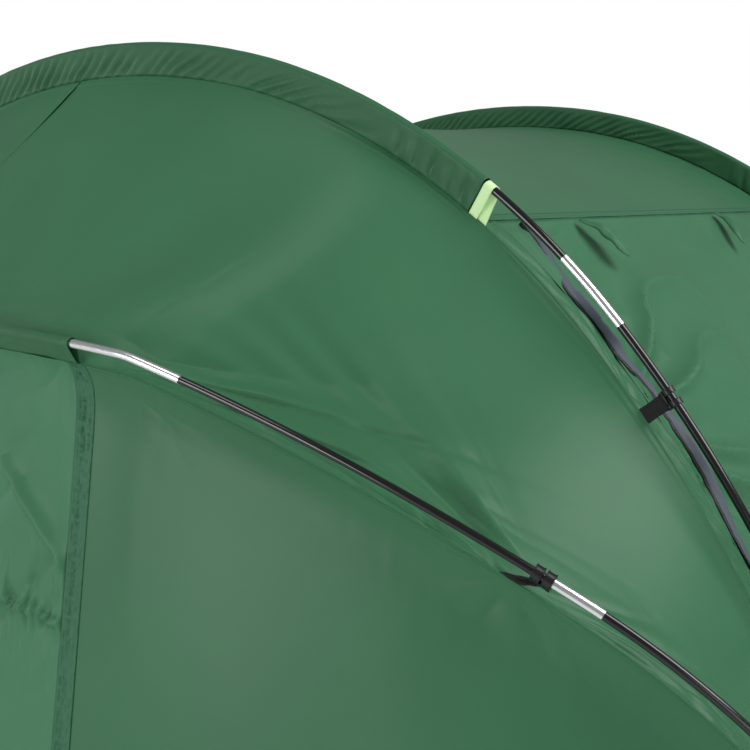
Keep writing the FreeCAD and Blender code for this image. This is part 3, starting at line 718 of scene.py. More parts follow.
def make_roofs():
    porch, front, rear, tail = (HOOPS[n] for n in ("porch", "front", "rear", "tail"))
    join = (-0.235, -0.030)          # where the two halves of an end roof are sewn together
    make_end_roof("porch_roof_right", porch, front, join, (1, 1), 11, 390, 122)
    make_end_roof("porch_roof_left", porch, front, (-1, -1), join, 14, 330, 60)
    make_end_roof("rear_roof_right", tail, rear, join, (1, 1), 61, 330, 56)
    make_end_roof("rear_roof_left", tail, rear, (-1, -1), join, 64, 300, 56)
    share = np.linspace(-1, 1, 300)
    shares = crowded(84, 1.0, 1.0, 0.08)
    points = between(front, rear, share * HEADER, share * REAR_HEADER, shares)
    from_front, from_rear = shares[None, :] * BAY, (1 - shares)[None, :] * BAY
    from_header = (1 - np.abs(share))[:, None] * HEADER + 0 * from_front
    by = share[:, None] * HEADER + 0 * from_front
    height = -ROOF_SAG * 4 * (shares * (1 - shares))[None, :] * (1 - np.abs(share) ** 4)[:, None]
    held = held_edges(from_front, from_rear, from_header)
    height = height + 0.0050 * held * soft_noise(by * 2.6, from_front * 2.6, 35)
    height = height + gathers(by, from_front, 31, 0.0012, 0.024, 0.04)
    height = height + gathers(by, from_rear, 33, 0.0016, 0.024, 0.05)
    along_header = np.broadcast_to((shares * BAY)[None, :], height.shape)
    by_header = gathers(along_header, from_header, 37, 0.0009, 0.030, 0.04)
    height = height + by_header * held_edges(from_front, from_rear)
    for number, side in enumerate((1, -1)):
        height = height + pull(by, from_front, side * MAIN_SLEEVE_END, 51 + number, 0.022, 0.10)
        height = height + pull(by, from_rear, side * REAR_HEADER * 0.98, 53 + number, 0.022, 0.10)
    height = height - seam_crease(from_front) - seam_crease(from_rear)
    outward = outward_from(points)
    points = face_out(pushed(points, height, outward), outward)
    sheet_piece("cabin_roof_sheet", points, SHELL, SHELTER, ["cabin_roof"],
                ["front_sleeve", "rear_sleeve"])


# ---------------------------------------------------------------- sleeves
def sleeve_outline(radius, depth, legs, round_steps):
    """A teardrop round the pole: out and down from it, from the front of the seam to the back."""
    tangent = math.asin(radius / depth)
    turn = np.linspace(-tangent, math.pi + tangent, round_steps)
    ring = [(radius * math.cos(a), -radius * math.sin(a)) for a in turn]
    front = [(lerp(0.0009, ring[0][0], t), lerp(depth, ring[0][1], t)) for t in np.linspace(0, 1, legs)[:-1]]
    return np.array(front + ring + [(-a, d) for a, d in reversed(front)])


# along a sleeve from its left end, -1, to its right end, 1: how the puckers slant, and how strong they are
SLEEVE_SLANT = [-1, 0.12, 0.38, 0.62, 0.80, 1], [1.4, 1.5, 2.2, 2.3, 0.0, -0.35]
SLEEVE_STRENGTH = [-1, -0.9, 0.55, 0.66, 0.76, 0.88, 1], [0.8, 1, 1, 0.6, 0.2, 0.9, 1.1]


def make_sleeve(name, end, room, seed, puckers, fine=0.0035):
    """Cloth folded tightly over the pole and sewn flat, with puckers that slant down to the seam."""
    hoop = HOOPS[name]
    radius = hoop.pole + room
    runs = np.linspace(-end, end, int(2 * end / fine))
    outline = sleeve_outline(radius, hoop.drop, 12, 15)
    ahead = np.broadcast_to(outline[:, 0], (len(runs), len(outline))).copy()
    drop = np.broadcast_to(outline[:, 1], ahead.shape).copy()
    along = np.broadcast_to(runs[:, None], ahead.shape)
    side = np.sign(outline[:, 0])[None, :]
    low = np.clip(drop / hoop.drop, 0, 1)
    share = runs / end
    slant = np.interp(share, *SLEEVE_SLANT)[:, None]
    strength = np.interp(share, *SLEEVE_STRENGTH)[:, None]
    swept = along + slant * drop + 0.010 * soft_noise(along / 0.06, drop / 0.05, seed)
    counted = np.cumsum(0.004 / np.interp(np.arange(-1.2, 1.2, 0.004), [-0.3, 0.3], [0.021, 0.031]))
    phase = np.interp(swept, np.arange(-1.2, 1.2, 0.004), counted)
    wave = 1.9 * np.abs(np.sin(np.pi * phase)) ** 0.75 - 1.25
    wave = wave * (0.75 + 0.6 * soft_noise(swept / 0.045, drop / 0.04, seed + 4))
    wave = wave + 0.22 * creased(swept / 0.009, drop / 0.03, seed + 1)
    shaped = np.clip(low * 1.5, 0, 1) ** 0.8 * (1 - np.exp(-(hoop.drop - drop) / 0.005))
    ahead += side * puckers * wave * strength * shaped
    ahead += side * puckers * 0.5 * soft_noise(along / 0.05, 0.0, seed + 2) * shaped
    loose = 1 + 0.04 * soft_noise(along / 0.022, side * 2.0, seed + 3) * (low < 0.25)
    ahead, drop = ahead * loose, np.where(low < 0.25, drop * loose, drop)
    hem = 0.0006 * (np.abs(along) > end - 0.009) + 0.0004 * (np.abs(along) > end - 0.0035)
    ahead += side * hem
    drop = drop - np.where(low < 0.02, hem, 0)
    points = hoop.point(along, drop, ahead)
    outward = hoop.outward(along) * 0.3 + side[..., None] * hoop.front
    thing = thicken(grid_object(name + "_sleeve_cloth", face_out(points, outward)), 0.45 * MM, 1.0)
    # the sleeve takes the darker copy of the shell cloth, which is painted shade
    dress(thing, SLEEVE_CLOTH_PAINTED_SHADE, SHELTER, [name + "_sleeve"])


def make_sleeves():
    for name, seed, fine in (("front", 101, 0.0022), ("rear", 131, 0.0030)):
        make_sleeve(name, MAIN_SLEEVE_END, 0.0009, seed, 0.0042, fine)
    for name, seed in (("porch", 151), ("tail", 171)):
        make_sleeve(name, PORCH_SLEEVE_END, 0.0015, seed, 0.0005)


# ---------------------------------------------------------------- sides
def side_grid(near, far, below, end, columns, rows):
    """Side-wall cloth: towards the back on the first axis, down from under the header on the second."""
    down = np.linspace(0, 1, rows)
    starts = [header + below for header in (HEADER, REAR_HEADER)]
    ways = [start + (end - start) * down for start in starts]
    shares = np.linspace(near, far, columns) / BAY
    return np.swapaxes(between(HOOPS["front"], HOOPS["rear"], *ways, shares), 0, 1), ways[0]


def side_place(behind, run, lift=0.0):
    """Places on the side wall, by their way behind the front hoop and down its pole."""
    front, rear = HOOPS["front"], HOOPS["rear"]
    run = np.asarray(run, float)
    rear_run = run - (HEADER - REAR_HEADER) * np.clip((1.88 - run) / (1.88 - HEADER), 0, 1)
    near = front.point(run, front.drop - np.asarray(lift, float))
    far = rear.point(rear_run, rear.drop - np.asarray(lift, float))
    return near + (far - near) * (np.asarray(behind, float) / BAY)[..., None]


def placed_on(side, points):
    points = face_out(points, outward_from(points))
    return points if SIDES[side] > 0 else mirrored(points)


def make_jambs(side, floor):
    for index, (near, far) in enumerate(((0.0007, JAMB), (BAY - JAMB, BAY - 0.0007))):
        points, runs = side_grid(near, far, 0.0006, floor, 18, 300)
        away = (np.linspace(0, JAMB, 18) if index == 0 else np.linspace(JAMB, 0, 18))[:, None]
        by = runs[None, :] + 0 * away
        slanted = away - 0.20 * (by - CLIPS["front"][0])
        height = gathers(by, away, 200 + index, 0.0014, 0.020, 0.030, 0.8) - seam_crease(away, 0.0022)
        creases = creased(by / 0.11, slanted / 0.010, 210 + index)
        height = height + 0.0026 * creases * np.clip(away / 0.012, 0, 1)
        for run in CLIPS["front"]:
            height = height + pull(by, away, run, 220 + index, 0.07, 0.05, 4.0, 3.0)
        hem = np.clip((away - (JAMB - 0.007)) / 0.001, 0, 1)
        points = pushed(points, height + 0.0008 * hem, outward_from(points))
        sheet_piece("side_jamb_%d_%s" % (index, side), placed_on(side, points), SHELL, SHELTER,
                    ["side_jambs_" + side], ["front_poles_" + side])


def make_side_door(side, foot):
    """The door: hung from the header in soft upright folds."""
    edge = JAMB + 0.0006
    points, runs = side_grid(edge, BAY - edge, 0.0008, foot, 240, 180)
    behind = np.linspace(edge, BAY - edge, 240)[:, None]
    down = (runs - runs[0])[None, :]
    from_edge = np.minimum(behind - edge, BAY - edge - behind)
    hang = np.clip(down / 0.16, 0, 1) ** 0.7 * np.clip(from_edge / 0.04, 0, 1)
    height = 0.0075 * hang * soft_noise((behind + 0.25 * down) / 0.11, down / 0.90, 300)
    height = height + gathers(behind + 0 * down, down + 0 * behind, 302, 0.0022, 0.030, 0.08)
    height = height - 0.011 * hang
    for number, run in enumerate(CLIPS["front"]):
        # long narrow ridges that spread from where each clip holds the wall
        for near in (True, False):
            aside = behind - 0.010 if near else BAY - 0.010 - behind
            below = down - (run - HEADER)
            distance = np.hypot(aside, below)
            angle = np.arctan2(aside, -below) + 0.10 * soft_noise(distance / 0.15, behind / 0.3, 306)
            ridges = -creased(angle * 3.1 + 0.35, distance / 0.9, 311 + 2 * number + near, 0.6)
            fine = -creased(angle * 8.0, distance / 0.25, 321 + 2 * number + near, 0.7)
            size = (0.115, 0.070, 0.060)[number] * distance * np.exp(-(distance / 0.36) ** 2)
            free = np.clip(from_edge / 0.02, 0, 1) * np.clip(down / 0.03, 0, 1)
            height = height + (ridges * size + fine * 0.25 * size * np.exp(-distance / 0.1)) * free
    for number, (spot, slope) in enumerate(((0.259, 0.06), (0.836, 0.06))):
        height = height + pull(behind + 0 * down, down + 0 * behind, spot, 330 + number, slope,
                               0.09, 4.0, 1.2)
    hem = np.clip((0.007 - from_edge) / 0.001, 0, 1)
    points = pushed(points, height + 0.0007 * hem, outward_from(points))
    sheet_piece("side_door_cloth_" + side, placed_on(side, points), DOOR_CLOTH_PAINTED_LIGHT, "side_door_" + side,
                ["side_door_" + side], ["cabin_roof_sheet"])


def make_header_hem(side):
    """The band stitched down above the side door."""
    behind = np.linspace(0.004, BAY - 0.004, 260)[:, None]
    across = np.linspace(0.0010, 0.0140, 5)[None, :]
    wavy = 0.0005 * soft_noise(behind / 0.03, across / 0.01, 330)
    share = behind / BAY
    run = lerp(HEADER, REAR_HEADER, share) - across + 0 * behind
    points = side_place_level(behind + 0 * across, run, 0.0011 + wavy)
    sheet_piece("side_header_hem_" + side, placed_on(side, points), STRIP, SHELTER,
                ["cabin_roof"], ["cabin_roof_sheet"], 0.6 * MM)


def side_place_level(behind, front_like_run, lift):
    """Places by the header, where the pole distance is already the one at that way back."""
    front, rear = HOOPS["front"], HOOPS["rear"]
    share = (behind / BAY)
    slope = HEADER - REAR_HEADER
    near = front.point(front_like_run + slope * share, front.drop - lift)
    far = rear.point(front_like_run - slope * (1 - share), rear.drop - lift)
    return near + (far - near) * share[..., None]


# each tie's top and foot: the way behind the front hoop, and the place down its pole
TIES = [((0.262, 0.814), (0.274, 0.908)), ((0.836, 0.811), (0.782, 0.905))]


def make_ties(side):
    """Two cloth ties, each folded lengthways and hanging slantwise from the header."""
    for number, (top, foot) in enumerate(TIES):
        t = np.linspace(0, 1, 34)[:, None]
        across = np.linspace(-1, 1, 9)[None, :]
        wide = np.interp(t, [0, 0.12, 0.45, 0.80, 0.94, 1], [0.004, 0.0100, 0.0145, 0.0110, 0.0056, 0.0010])
        behind = lerp(top[0], foot[0], t) + 0.004 * np.sin(t * 5.0 + number)
        run = lerp(top[1], foot[1], t)
        way = np.array([foot[0] - top[0], foot[1] - top[1]])
        way = way / np.linalg.norm(way)
        raised = np.sin(np.pi * np.clip(t * 0.92 + 0.04, 0, 1))
        fold = 0.0150 * raised * np.clip(1 - np.abs(across + 0.25), 0, 1) ** 0.8
        fold = fold + 0.0022 * soft_noise(t * 6, across * 1.5, 340 + number)
        fold = fold + 0.0050 * raised * np.clip(across, 0, 1) ** 2
        points = side_place(behind + across * wide * way[1], run - across * wide * way[0],
                            0.0065 + 0.006 * t + fold)
        sheet_piece("side_door_tie_%d_%s" % (number, side), placed_on(side, points), DOOR_CLOTH_PAINTED_LIGHT,
                    "side_door_" + side, ["side_door_ties_" + side],
                    ["side_door_cloth_" + side], 0.6 * MM)


# the loose zip ribbon: places down the front pole, ways behind the hoop, and its twist in degrees
RIBBON = [(0.812, 0.090, 75), (0.860, 0.082, 30), (0.900, 0.064, 10), (0.940, 0.046, 25), (0.985, 0.038, 70),
          (1.020, 0.034, 95), (1.055, 0.041, 25), (1.100, 0.058, 5), (1.155, 0.056, 20), (1.220, 0.050, 60),
          (1.285, 0.047, 20), (1.400, 0.043, -15), (1.560, 0.042, 10), (1.740, 0.042, -8), (1.885, 0.042, 0)]


def make_ribbon(side, rear):
    """A narrow zip ribbon that hangs loose and twisted beside the pole, with a black coil on one edge."""
    places, ways, twists = (np.array(v, float) for v in zip(*RIBBON))
    run = np.linspace(places[0], places[-1], 260)
    behind = smooth_line(places, ways, run)
    turn = np.radians(smooth_line(places, twists, run) * (0.3 if rear else 1.0))
    if rear:
        behind = 0.042 + (behind - 0.042) * 0.3
    across = np.array([-1, -0.66, -0.33, 0, 0.33, 0.66, 1])[None, :] * 0.0080
    ripple = 0.0010 * soft_noise(run[:, None] / 0.010, across / 0.006, 350)
    run, turn = run[:, None], turn[:, None]
    lift = 0.0022 + 0.0068 * np.abs(np.sin(turn)) + across * np.sin(turn) + ripple
    sideways = behind[:, None] + across * np.cos(turn)
    sideways = BAY - sideways if rear else sideways
    points = side_place(sideways, run + 0 * across, lift)
    name = "side_zip_ribbon_%s_%s" % ("rear" if rear else "front", side)
    sheet_piece(name, placed_on(side, points), RIBBON_FINISH, "side_door_" + side,
                ["side_zip_tapes_" + side], ["side_door_cloth_" + side], 0.5 * MM)


def make_side(side):
    front = HOOPS["front"]
    make_jambs(side, front.run_at_height(MAIN_DROP, 0.001))
    make_side_door(side, front.run_at_height(MAIN_DROP, 0.008))
    make_header_hem(side)
    make_ties(side)
    make_ribbon(side, False)
    make_ribbon(side, True)


make_rods()
make_roofs()
make_sleeves()
for side_name in SIDES:
    make_side(side_name)


# ---------------------------------------------------------------- end walls
def wall_foot(x, back=False):
    """The wall's line on the ground: straight across the door, then curving back."""
    share = np.clip((np.abs(x) - CORNER_START) / CORNER_WIDTH, 0, 0.999)
    y = CORNER_DEPTH - WALL_FRONT - CORNER_DEPTH * np.sqrt(1 - share ** 2)
    y = BAY - y if back else y
    return np.stack([x, y, np.zeros_like(x)], axis=-1)


def wall_grid(hoop, runs, rows, back=False, lift=0.0, extra=0.0):
    """An end wall's cloth: along the seam on the first axis, down to the ground on the second."""
    side = -1 if back else 1
    tops = hoop.point(runs, hoop.drop + extra, np.full(len(runs), side * 0.0016))
    feet = wall_foot(tops[:, 0], back) + np.array([0, 0, lift])
    shares = crowded(rows, 7.0, 0.0, 0.10)
    points = tops[:, None] + (feet - tops)[:, None] * shares[None, :, None]
    down = np.linalg.norm(points - points[:, :1], axis=-1)
    return points, down, down[:, -1:]


def tuck(down, tall):
    """How far a wall is drawn in under its seam; from there it runs straight to the ground."""
    deep = TUCK_IN * np.minimum(1, tall / 0.4)
    rest = np.maximum(tall - TUCK_DOWN, 0.01)
    return -deep * (1 - np.exp(-down / 0.020)) * (1 - np.clip((down - TUCK_DOWN) / rest, 0, 1))


def wall_detail(along, down, tall, seed):
    """Puckers under the seam and the long soft waves of hanging cloth."""
    middle = np.clip(down / 0.08, 0, 1) * np.clip((tall - down) / 0.05, 0, 1)
    height = gathers(along, down, seed, 0.0021, 0.026, 0.045) - seam_crease(down)
    height = height + 0.0045 * middle * soft_noise(along / 0.20, down / 0.34, seed + 2)
    for side in (1, -1):
        spots = [(PORCH_SLEEVE_END + 0.012, 0.030, 0.07, 4.0, 2.0)]
        spots += [(run, 0.055, 0.055, 4.5, 1.3) for run in TAB_FOOT["porch"]]
        for number, (spot, *shape) in enumerate(spots):
            height = height + pull(along, down, side * spot, seed + 30 + 2 * number + side, *shape)
    return height


def make_walls():
    porch, tail = HOOPS["porch"], HOOPS["tail"]
    flap_in = DOOR_HALF + DOOR_ROOM
    last = porch.half - 0.030
    runs = np.linspace(porch.run_at_x(flap_in + ZIP_FLAP + 0.0004, PORCH_DROP), last, 400)
    points, down, tall = wall_grid(porch, runs, 84)
    along = runs[:, None] + 0 * down
    beside_zip = 1 - np.exp(-np.maximum(along - runs[0] - 0.6 * ZIP_FLAP, 0) / 0.03)
    height = tuck(down, tall) + wall_detail(along, down, tall, 401) * beside_zip
    points = pushed(points, height, outward_from(points))
    for side in SIDES:
        sheet_piece("front_wall_cloth_" + side, placed_on(side, points), SHELL, SHELTER,
                    ["front_wall_" + side], ["porch_sleeve", "porch_poles_" + side])
    runs = np.linspace(-last, last, 560)
    points, down, tall = wall_grid(tail, runs, 56, True)
    outward = outward_from(points)
    height = tuck(down, tall) + wall_detail(runs[:, None] + 0 * down, down, tall, 431)
    points = face_out(pushed(points, height, outward), outward)
    sheet_piece("rear_wall_cloth", points, SHELL, SHELTER, ["rear_wall"],
                ["tail_sleeve"])
    make_front_door(porch)
    make_zip_flaps(porch, flap_in)


def make_front_door(porch):
    """The front door: soft, with a slanting fold and a crinkled seam that runs across it."""
    half = porch.run_at_x(DOOR_HALF, PORCH_DROP)
    runs = np.linspace(-half, half, 200)
    points, down, tall = wall_grid(porch, runs, 200, False, 0.008, 0.0003)
    across = points[:, :1, 0] + 0 * down
    edge = np.clip((DOOR_HALF - np.abs(across)) / 0.03, 0, 1)
    height = gathers(across, down, 501, 0.0024, 0.030, 0.06)
    slanted = (across * 0.8 - down * 0.6) / 0.11, (across * 0.6 + down * 0.8) / 0.35
    height = height + 0.0090 * edge * soft_noise(*slanted, 502)
    height = height + 0.0050 * edge * creased((across + down * 1.1) / 0.09, (across - down) / 0.30, 503)
    for side in (1, -1):
        # a fold that slants down to the door's edge
        off = (down - 0.235) - (side * across - 0.262) * 0.75
        reach = np.clip((side * across - 0.10) / 0.10, 0, 1)
        above = 0.0120 * np.exp(-(off / 0.022) ** 2) * (off < 0)
        below = 0.0075 * np.exp(-off / 0.03) * (off >= 0)
        height = height + reach * (above + below - 0.0035 * np.exp(-(off / 0.0025) ** 2))
    seam = down - 0.345 - 0.004 * soft_noise(across / 0.05, 0.0, 504)
    crinkle = creased(across / 0.007, seam / 0.012, 505) + soft_noise(across / 0.0035, seam / 0.006, 506)
    height = height + np.exp(-(seam / 0.009) ** 2) * (0.0036 + 0.0068 * crinkle)
    height = height + 0.0075 * np.exp(-np.abs(seam) / 0.035) * creased(across / 0.016, seam / 0.05, 507)
    height = tuck(down, tall) + height * np.clip((DOOR_HALF - np.abs(across)) / 0.010, 0, 1)
    points = pushed(points, height, outward_from(points))
    points = face_out(points, outward_from(points))
    sheet_piece("front_door_cloth", points, FRONT_DOOR_CLOTH_PAINTED_LIGHT, "front_door", ["front_door"],
                ["porch_sleeve"])


def make_zip_flaps(porch, flap_in):
    """A crinkled strip over each front zip."""
    edges = [porch.run_at_x(x, PORCH_DROP) for x in (flap_in - 0.0015, flap_in + 1.6 * ZIP_FLAP)]
    runs = np.linspace(edges[0], edges[1], 26)
    points, down, tall = wall_grid(porch, runs, 420, False, 0.008)
    share = ((runs - runs[0]) / (runs[-1] - runs[0]))[:, None] + 0 * down
    bulge = np.sin(np.pi * np.clip(share, 0, 1)) ** 0.6
    across = share * 1.6 * ZIP_FLAP
    crinkle = creased(down / 0.0085, across / 0.010, 601)
    crinkle = crinkle + 0.6 * soft_noise(down / 0.0045, across / 0.005, 602)
    stitched = sum(np.exp(-((share - row) / 0.04) ** 2) for row in (0.16, 0.34, 0.66, 0.84))
    # low where the slider runs, and clear of the wall where it laps over it
    over = np.clip((share - 0.50) / 0.12, 0, 1)
    raised = lerp(0.0022 * crinkle - 0.0012, 0.0020 * np.abs(crinkle) + 0.0016, over)
    height = tuck(down, tall) + raised * bulge - 0.0014 * stitched * bulge + 0.0003
    points = pushed(points, height, outward_from(points))
    for side in SIDES:
        sheet_piece("front_zip_flap_" + side, placed_on(side, points), STRIP, SHELTER,
                    ["front_zip_flaps"], ["front_wall_cloth_" + side])


make_walls()


def make_floor():
    """The sewn-in floor: flat, with low wrinkles, a little inside the walls."""
    reach = HOOPS["front"].point(np.array(HOOPS["front"].half), MAIN_DROP)[0] - 0.006
    x = np.linspace(-reach, reach, 150)
    near = wall_foot(x)[:, 1] + 0.006
    shares = np.linspace(0, 1, 120)[None, :]
    y = near[:, None] + (BAY - 2 * near[:, None]) * shares
    x = x[:, None] + 0 * y
    edge = 16 * shares * (1 - shares) * (1 - (x / reach) ** 2)
    lift = np.clip(edge, 0, 1) * (0.0008 + 0.0007 * soft_noise(x / 0.20, y / 0.16, 701))
    points = np.stack([x, y, 0.0006 + lift], axis=-1)
    sheet_piece("floor_cloth", face_out(points, UP), FLOOR_SHEET, SHELTER,
                ["groundsheet"], ["foot_pins"], 0.4 * MM)


make_floor()


# ---------------------------------------------------------------- webbing and clips
def make_sleeve_loop(name, side):
    """Bright webbing over the pole at the sleeve's end: both legs sewn to the seam, spread a little."""
    hoop = HOOPS[name]
    path = sleeve_outline(hoop.pole + 0.0010, hoop.drop - 0.0006, 14, 15)
    t = np.linspace(0, 1, len(path))[None, :]
    across = np.linspace(-0.0076, 0.0076, 7)[:, None]
    spread = 0.015 * np.clip((t - 0.5) / 0.5, 0, 1) ** 1.2
    narrow = 1 - 0.12 * np.exp(-((t - 0.5) / 0.12) ** 2)
    run = 0.7895 + across * narrow + spread
    wavy = 1 + 0.10 * soft_noise(across / 0.006, t * 5, 720)
    ahead = path[None, :, 0] * wavy + np.sign(0.5 - t) * 0.0010
    points = hoop.point(run, path[None, :, 1] + 0 * run, ahead)
    outward = np.sign(ahead)[..., None] * hoop.front + 0.2 * hoop.outward(run)
    points = face_out(points, outward)
    points = points if SIDES[side] > 0 else mirrored(points)
    sheet_piece("%s_sleeve_loop_%s" % (name, side), points, LIME_WEBBING, SHELTER,
                [name + "_sleeve_loops"], ["%s_rod_2_%s" % (name, side)], 1.1 * MM)


def make_tab(name, number, side):
    """Black webbing from a clip down to the seam; the low hoops' tabs are pulled slantwise and bunch up."""
    hoop = HOOPS[name]
    low = name in ("porch", "tail")
    clip = CLIPS[name][number]
    foot = TAB_FOOT[name][number] if low else clip
    t = np.linspace(0, 1, 24)[None, :]
    across = np.linspace(-1, 1, 15)[:, None]
    squeeze = (1.12 - 0.22 * np.sin(np.pi * t)) if low else (1 - 0.05 * np.sin(np.pi * t))
    run = lerp(clip, foot, t ** 1.1) + across * 0.0108 * squeeze
    drop = lerp(hoop.pole + 0.0060, hoop.drop - 0.0004, t) + 0 * across
    bunched = (0.0040 if low else 0.0004) * np.sin(np.pi * t)
    folds = np.sin(across * 5.0 + t * 2 + number) + 0.6 * soft_noise(across * 4, t * 2, 730 + number)
    ahead = 0.0004 + bunched * folds
    ahead = ahead + (0.0005 * soft_noise(across * 2, t * 3, 735))
    points = hoop.point(run, drop, ahead)
    points = face_out(points, hoop.front + 0 * points)
    points = points if SIDES[side] > 0 else mirrored(points)
    rests = ["%s_clip_set_%s" % (name, side)]
    sheet_piece("%s_tab_%d_%s" % (name, number, side), points, BLACK_WEBBING, SHELTER,
                [name + "_clip_tabs"], rests, 1.2 * MM)


def outline_ring(bm, places):
    """A closed loop of vertices at these places."""
    ring = bmesh.ops.create_circle(bm, cap_ends=False, segments=len(places), radius=1)["verts"]
    ring.sort(key=lambda vert: math.atan2(vert.co.y, vert.co.x) % (2 * math.pi - 1e-6))
    for vert, place in zip(ring, places):
        vert.co = place
    return ring, {edge for vert in ring for edge in vert.link_edges}


def clip_mesh(bore, gap):
    """An open clip on the x axis: two flanged hooks with flared lips, on a spine with a webbing bar."""
    bm = bmesh.new()
    wall, half = 0.0024, 0.0060 - gap / 2
    opening = (math.radians(50), math.radians(355))
    for middle in (-0.0060 - gap / 2, 0.0060 + gap / 2):
        ahead = [(half - 0.0004, 0), (half, 0.0004), (half, wall + 0.0001),
                 (half - 0.0004, wall + 0.0005), (half - 0.0012, wall + 0.0005),
                 (half - 0.0017, wall - 0.0001)]
        behind = [(-x, r) for x, r in reversed(ahead)]
        section = [behind[-2], behind[-1]] + ahead + behind[:-2]
        cos, sin = math.cos(opening[0]), math.sin(opening[0])
        start = [Vector((middle + x, (bore + r) * cos, (bore + r) * sin)) for x, r in section]
        verts, edges = outline_ring(bm, start)
        bmesh.ops.spin(bm, geom=verts + list(edges), cent=(0, 0, 0), axis=(1, 0, 0),
                       angle=opening[1] - opening[0], steps=46, use_merge=False, use_duplicate=False)
    for vert in bm.verts:
        angle = math.atan2(vert.co.z, vert.co.y) % (2 * math.pi)
        near_end = min(abs(angle - opening[0]), abs(angle - opening[1]))
        flare = 1 + 0.07 * math.exp(-(near_end / 0.16) ** 2)
        vert.co.y *= flare
        vert.co.z *= flare
    bmesh.ops.holes_fill(bm, edges=[edge for edge in bm.edges if edge.is_boundary], sides=0)
    # the spine under both hooks, and a thicker cheek near each end of it
    inner, outer = (-bore - 0.0006, 0.0050), (-bore - wall - 0.0030, 0.0036)
    spine, cheek = (0.0118, 1.0, 0), (0.0024, 1.12, 0.0004)      # half width, growth, extra depth
    for x, (width, grow, deeper) in ((0.0, spine), (-0.0095, cheek), (0.0095, cheek)):
        made = bmesh.ops.create_cube(bm, size=1.0)["verts"]
        for vert in made:
            upper = vert.co.z > 0
            level, wide = inner if upper else outer
            vert.co = Vector((x + vert.co.x * 2 * width, vert.co.y * 2 * wide * grow,
                              level if upper else level - deeper))
        edges = {edge for vert in made for edge in vert.link_edges}
        bmesh.ops.bevel(bm, geom=list(edges), offset=0.0006, segments=2, profile=0.5, affect="EDGES",
                        material=-1)
    bmesh.ops.recalc_face_normals(bm, faces=bm.faces)
    mesh = bpy.data.meshes.new("clip")
    bm.to_mesh(mesh)
    bm.free()
    mesh.shade_smooth()
    mesh.set_sharp_from_angle(angle=math.radians(38))
    return mesh


def make_clips(name):
    """The clips down both legs of a hoop; the low hoops' hooks nearly touch."""
    hoop = HOOPS[name]
    low = name in ("porch", "tail")
    pattern = clip_mesh(0.0063 if low else 0.0056, 0.0014 if low else 0.0040)
    for side, sign in SIDES.items():
        parts = []
        for run in CLIPS[name]:
            part = pattern.copy()
            part.transform(hoop.seat(run))
            if sign < 0:
                part.transform(Matrix.Scale(-1, 4, (1, 0, 0)))
                part.flip_normals()
            parts.append(part)
        thing = joined("%s_clip_set_%s" % (name, side), parts)
        dress(thing, BLACK_PLASTIC, SHELTER, [name + "_clips"])
        for number in range(len(CLIPS[name])):
            make_tab(name, number, side)


def make_foot_strap(name, side):
    """Webbing from the corner of the cloth to the ring on the pin."""
    hoop = HOOPS[name]
    foot = hoop.point(np.array(hoop.half + 0.010))
    seam = hoop.point(np.array(hoop.half), hoop.drop)[0] + 0.0025
    x = np.linspace(seam, foot[0] - 0.0125, 10)[:, None]
    y = foot[1] + np.linspace(-0.011, 0.011, 7)[None, :]
    wave = 0.0012 + 0.0004 * soft_noise(x / 0.008, y / 0.006, 740)
    points = face_out(np.stack([x + 0 * y, y + 0 * x, wave + 0 * x], axis=-1), UP)
    points = points if SIDES[side] > 0 else mirrored(points)
    sheet_piece("%s_foot_strap_%s" % (name, side), points, BLACK_WEBBING, SHELTER,
                ["foot_webbing"], ["floor_cloth"], 1.1 * MM)


for hoop_name in HOOPS:
    make_clips(hoop_name)
    for side_name in SIDES:
        make_foot_strap(hoop_name, side_name)
        if hoop_name in ("front", "rear"):
            make_sleeve_loop(hoop_name, side_name)


# ---------------------------------------------------------------- room, light and camera
def make_stage():
    bm = bmesh.new()
    bmesh.ops.create_grid(bm, x_segments=1, y_segments=1, size=30)
    bmesh.ops.translate(bm, vec=(0, 0, -0.001), verts=bm.verts)
    floor = finish_mesh("studio_floor", bm, False)
    finish = Finish("studio_floor", (0.86, 0.86, 0.86), 0.7)
    finish.put("Base Color", finish.shade(finish.noise(finish.place(), 2.0), 0.98, 1.0))
    floor.data.materials.append(finish.material)


ROOM_LIGHT = 0.22
ROOM_SHINE = 0.30
SHINE_COLOUR = (0.8, 0.8, 0.8)
LIGHTS = [
    ("high_right_light", (3.1, 0.6, 3.42), (0.2, 0, 0.6), 2.5, 108),
    ("front_left_light", (-1.2, -4.6, 0.9), (0.2, 0, 0.6), 2.4, 96),
    ("left_light", (-4.2, -1.5, 1.5), (0.2, 0, 0.6), 2.4, 26),
    ("over_light", (-0.3, -1.72, 4.34), (0.2, 0, 0.6), 1.3, 20),
    ("low_right_light", (4.2, -1.6, 0.6), (0.2, 0, 0.6), 2.6, 34),
]


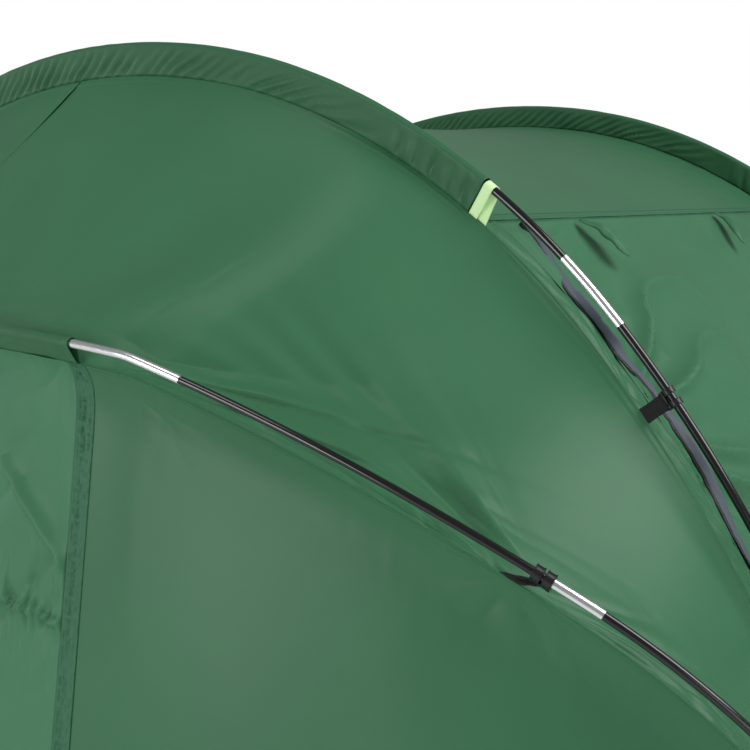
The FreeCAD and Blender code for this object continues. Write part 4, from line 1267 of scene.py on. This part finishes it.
def area_light(name, place, target, size, power):
    """A soft square lamp that the camera itself doesn't see."""
    data = bpy.data.lights.new(name, "AREA")
    data.shape, data.size, data.energy = "SQUARE", size, power
    lamp = bpy.data.objects.new(name, data)
    lamp.location = place
    lamp.rotation_euler = (Vector(target) - Vector(place)).to_track_quat("-Z", "Y").to_euler()
    lamp.visible_camera = False
    bpy.context.scene.collection.objects.link(lamp)


def make_light():
    world = bpy.data.worlds.new("studio")
    world.use_nodes = True
    tree = world.node_tree
    tree.nodes.clear()
    seen = tree.nodes.new("ShaderNodeLightPath")

    def background(colour, strength):
        node = tree.nodes.new("ShaderNodeBackground")
        node.inputs["Color"].default_value = (*colour, 1.0)
        node.inputs["Strength"].default_value = strength
        return node

    def choose(ray, otherwise, chosen):
        node = tree.nodes.new("ShaderNodeMixShader")
        tree.links.new(seen.outputs[ray], node.inputs[0])
        tree.links.new(otherwise.outputs[0], node.inputs[1])
        tree.links.new(chosen.outputs[0], node.inputs[2])
        return node

    around = choose("Is Glossy Ray", background((1, 1, 1), ROOM_LIGHT), background(SHINE_COLOUR, ROOM_SHINE))
    room = choose("Is Camera Ray", around, background((1, 1, 1), 1.0))
    out = tree.nodes.new("ShaderNodeOutputWorld")
    tree.links.new(room.outputs[0], out.inputs["Surface"])
    bpy.context.scene.world = world
    for name, place, target, size, power in LIGHTS:
        area_light(name, place, target, size, power)


CAMERA_PLACE = (1.5023, -1.2940, 0.9169)
CAMERA_DOWN, CAMERA_TURN = 7.78, 37.0          # degrees below level, and to the left of straight back
CAMERA_LENS = 54.27


def make_camera():
    data = bpy.data.cameras.new("camera")
    data.lens, data.sensor_width = CAMERA_LENS, 36
    camera = bpy.data.objects.new("camera", data)
    camera.location = CAMERA_PLACE
    camera.rotation_euler = (math.radians(90 - CAMERA_DOWN), 0, math.radians(CAMERA_TURN))
    bpy.context.scene.collection.objects.link(camera)
    bpy.context.scene.camera = camera


make_stage()
make_light()
make_camera()
bpy.context.scene.view_settings.view_transform = "Standard"
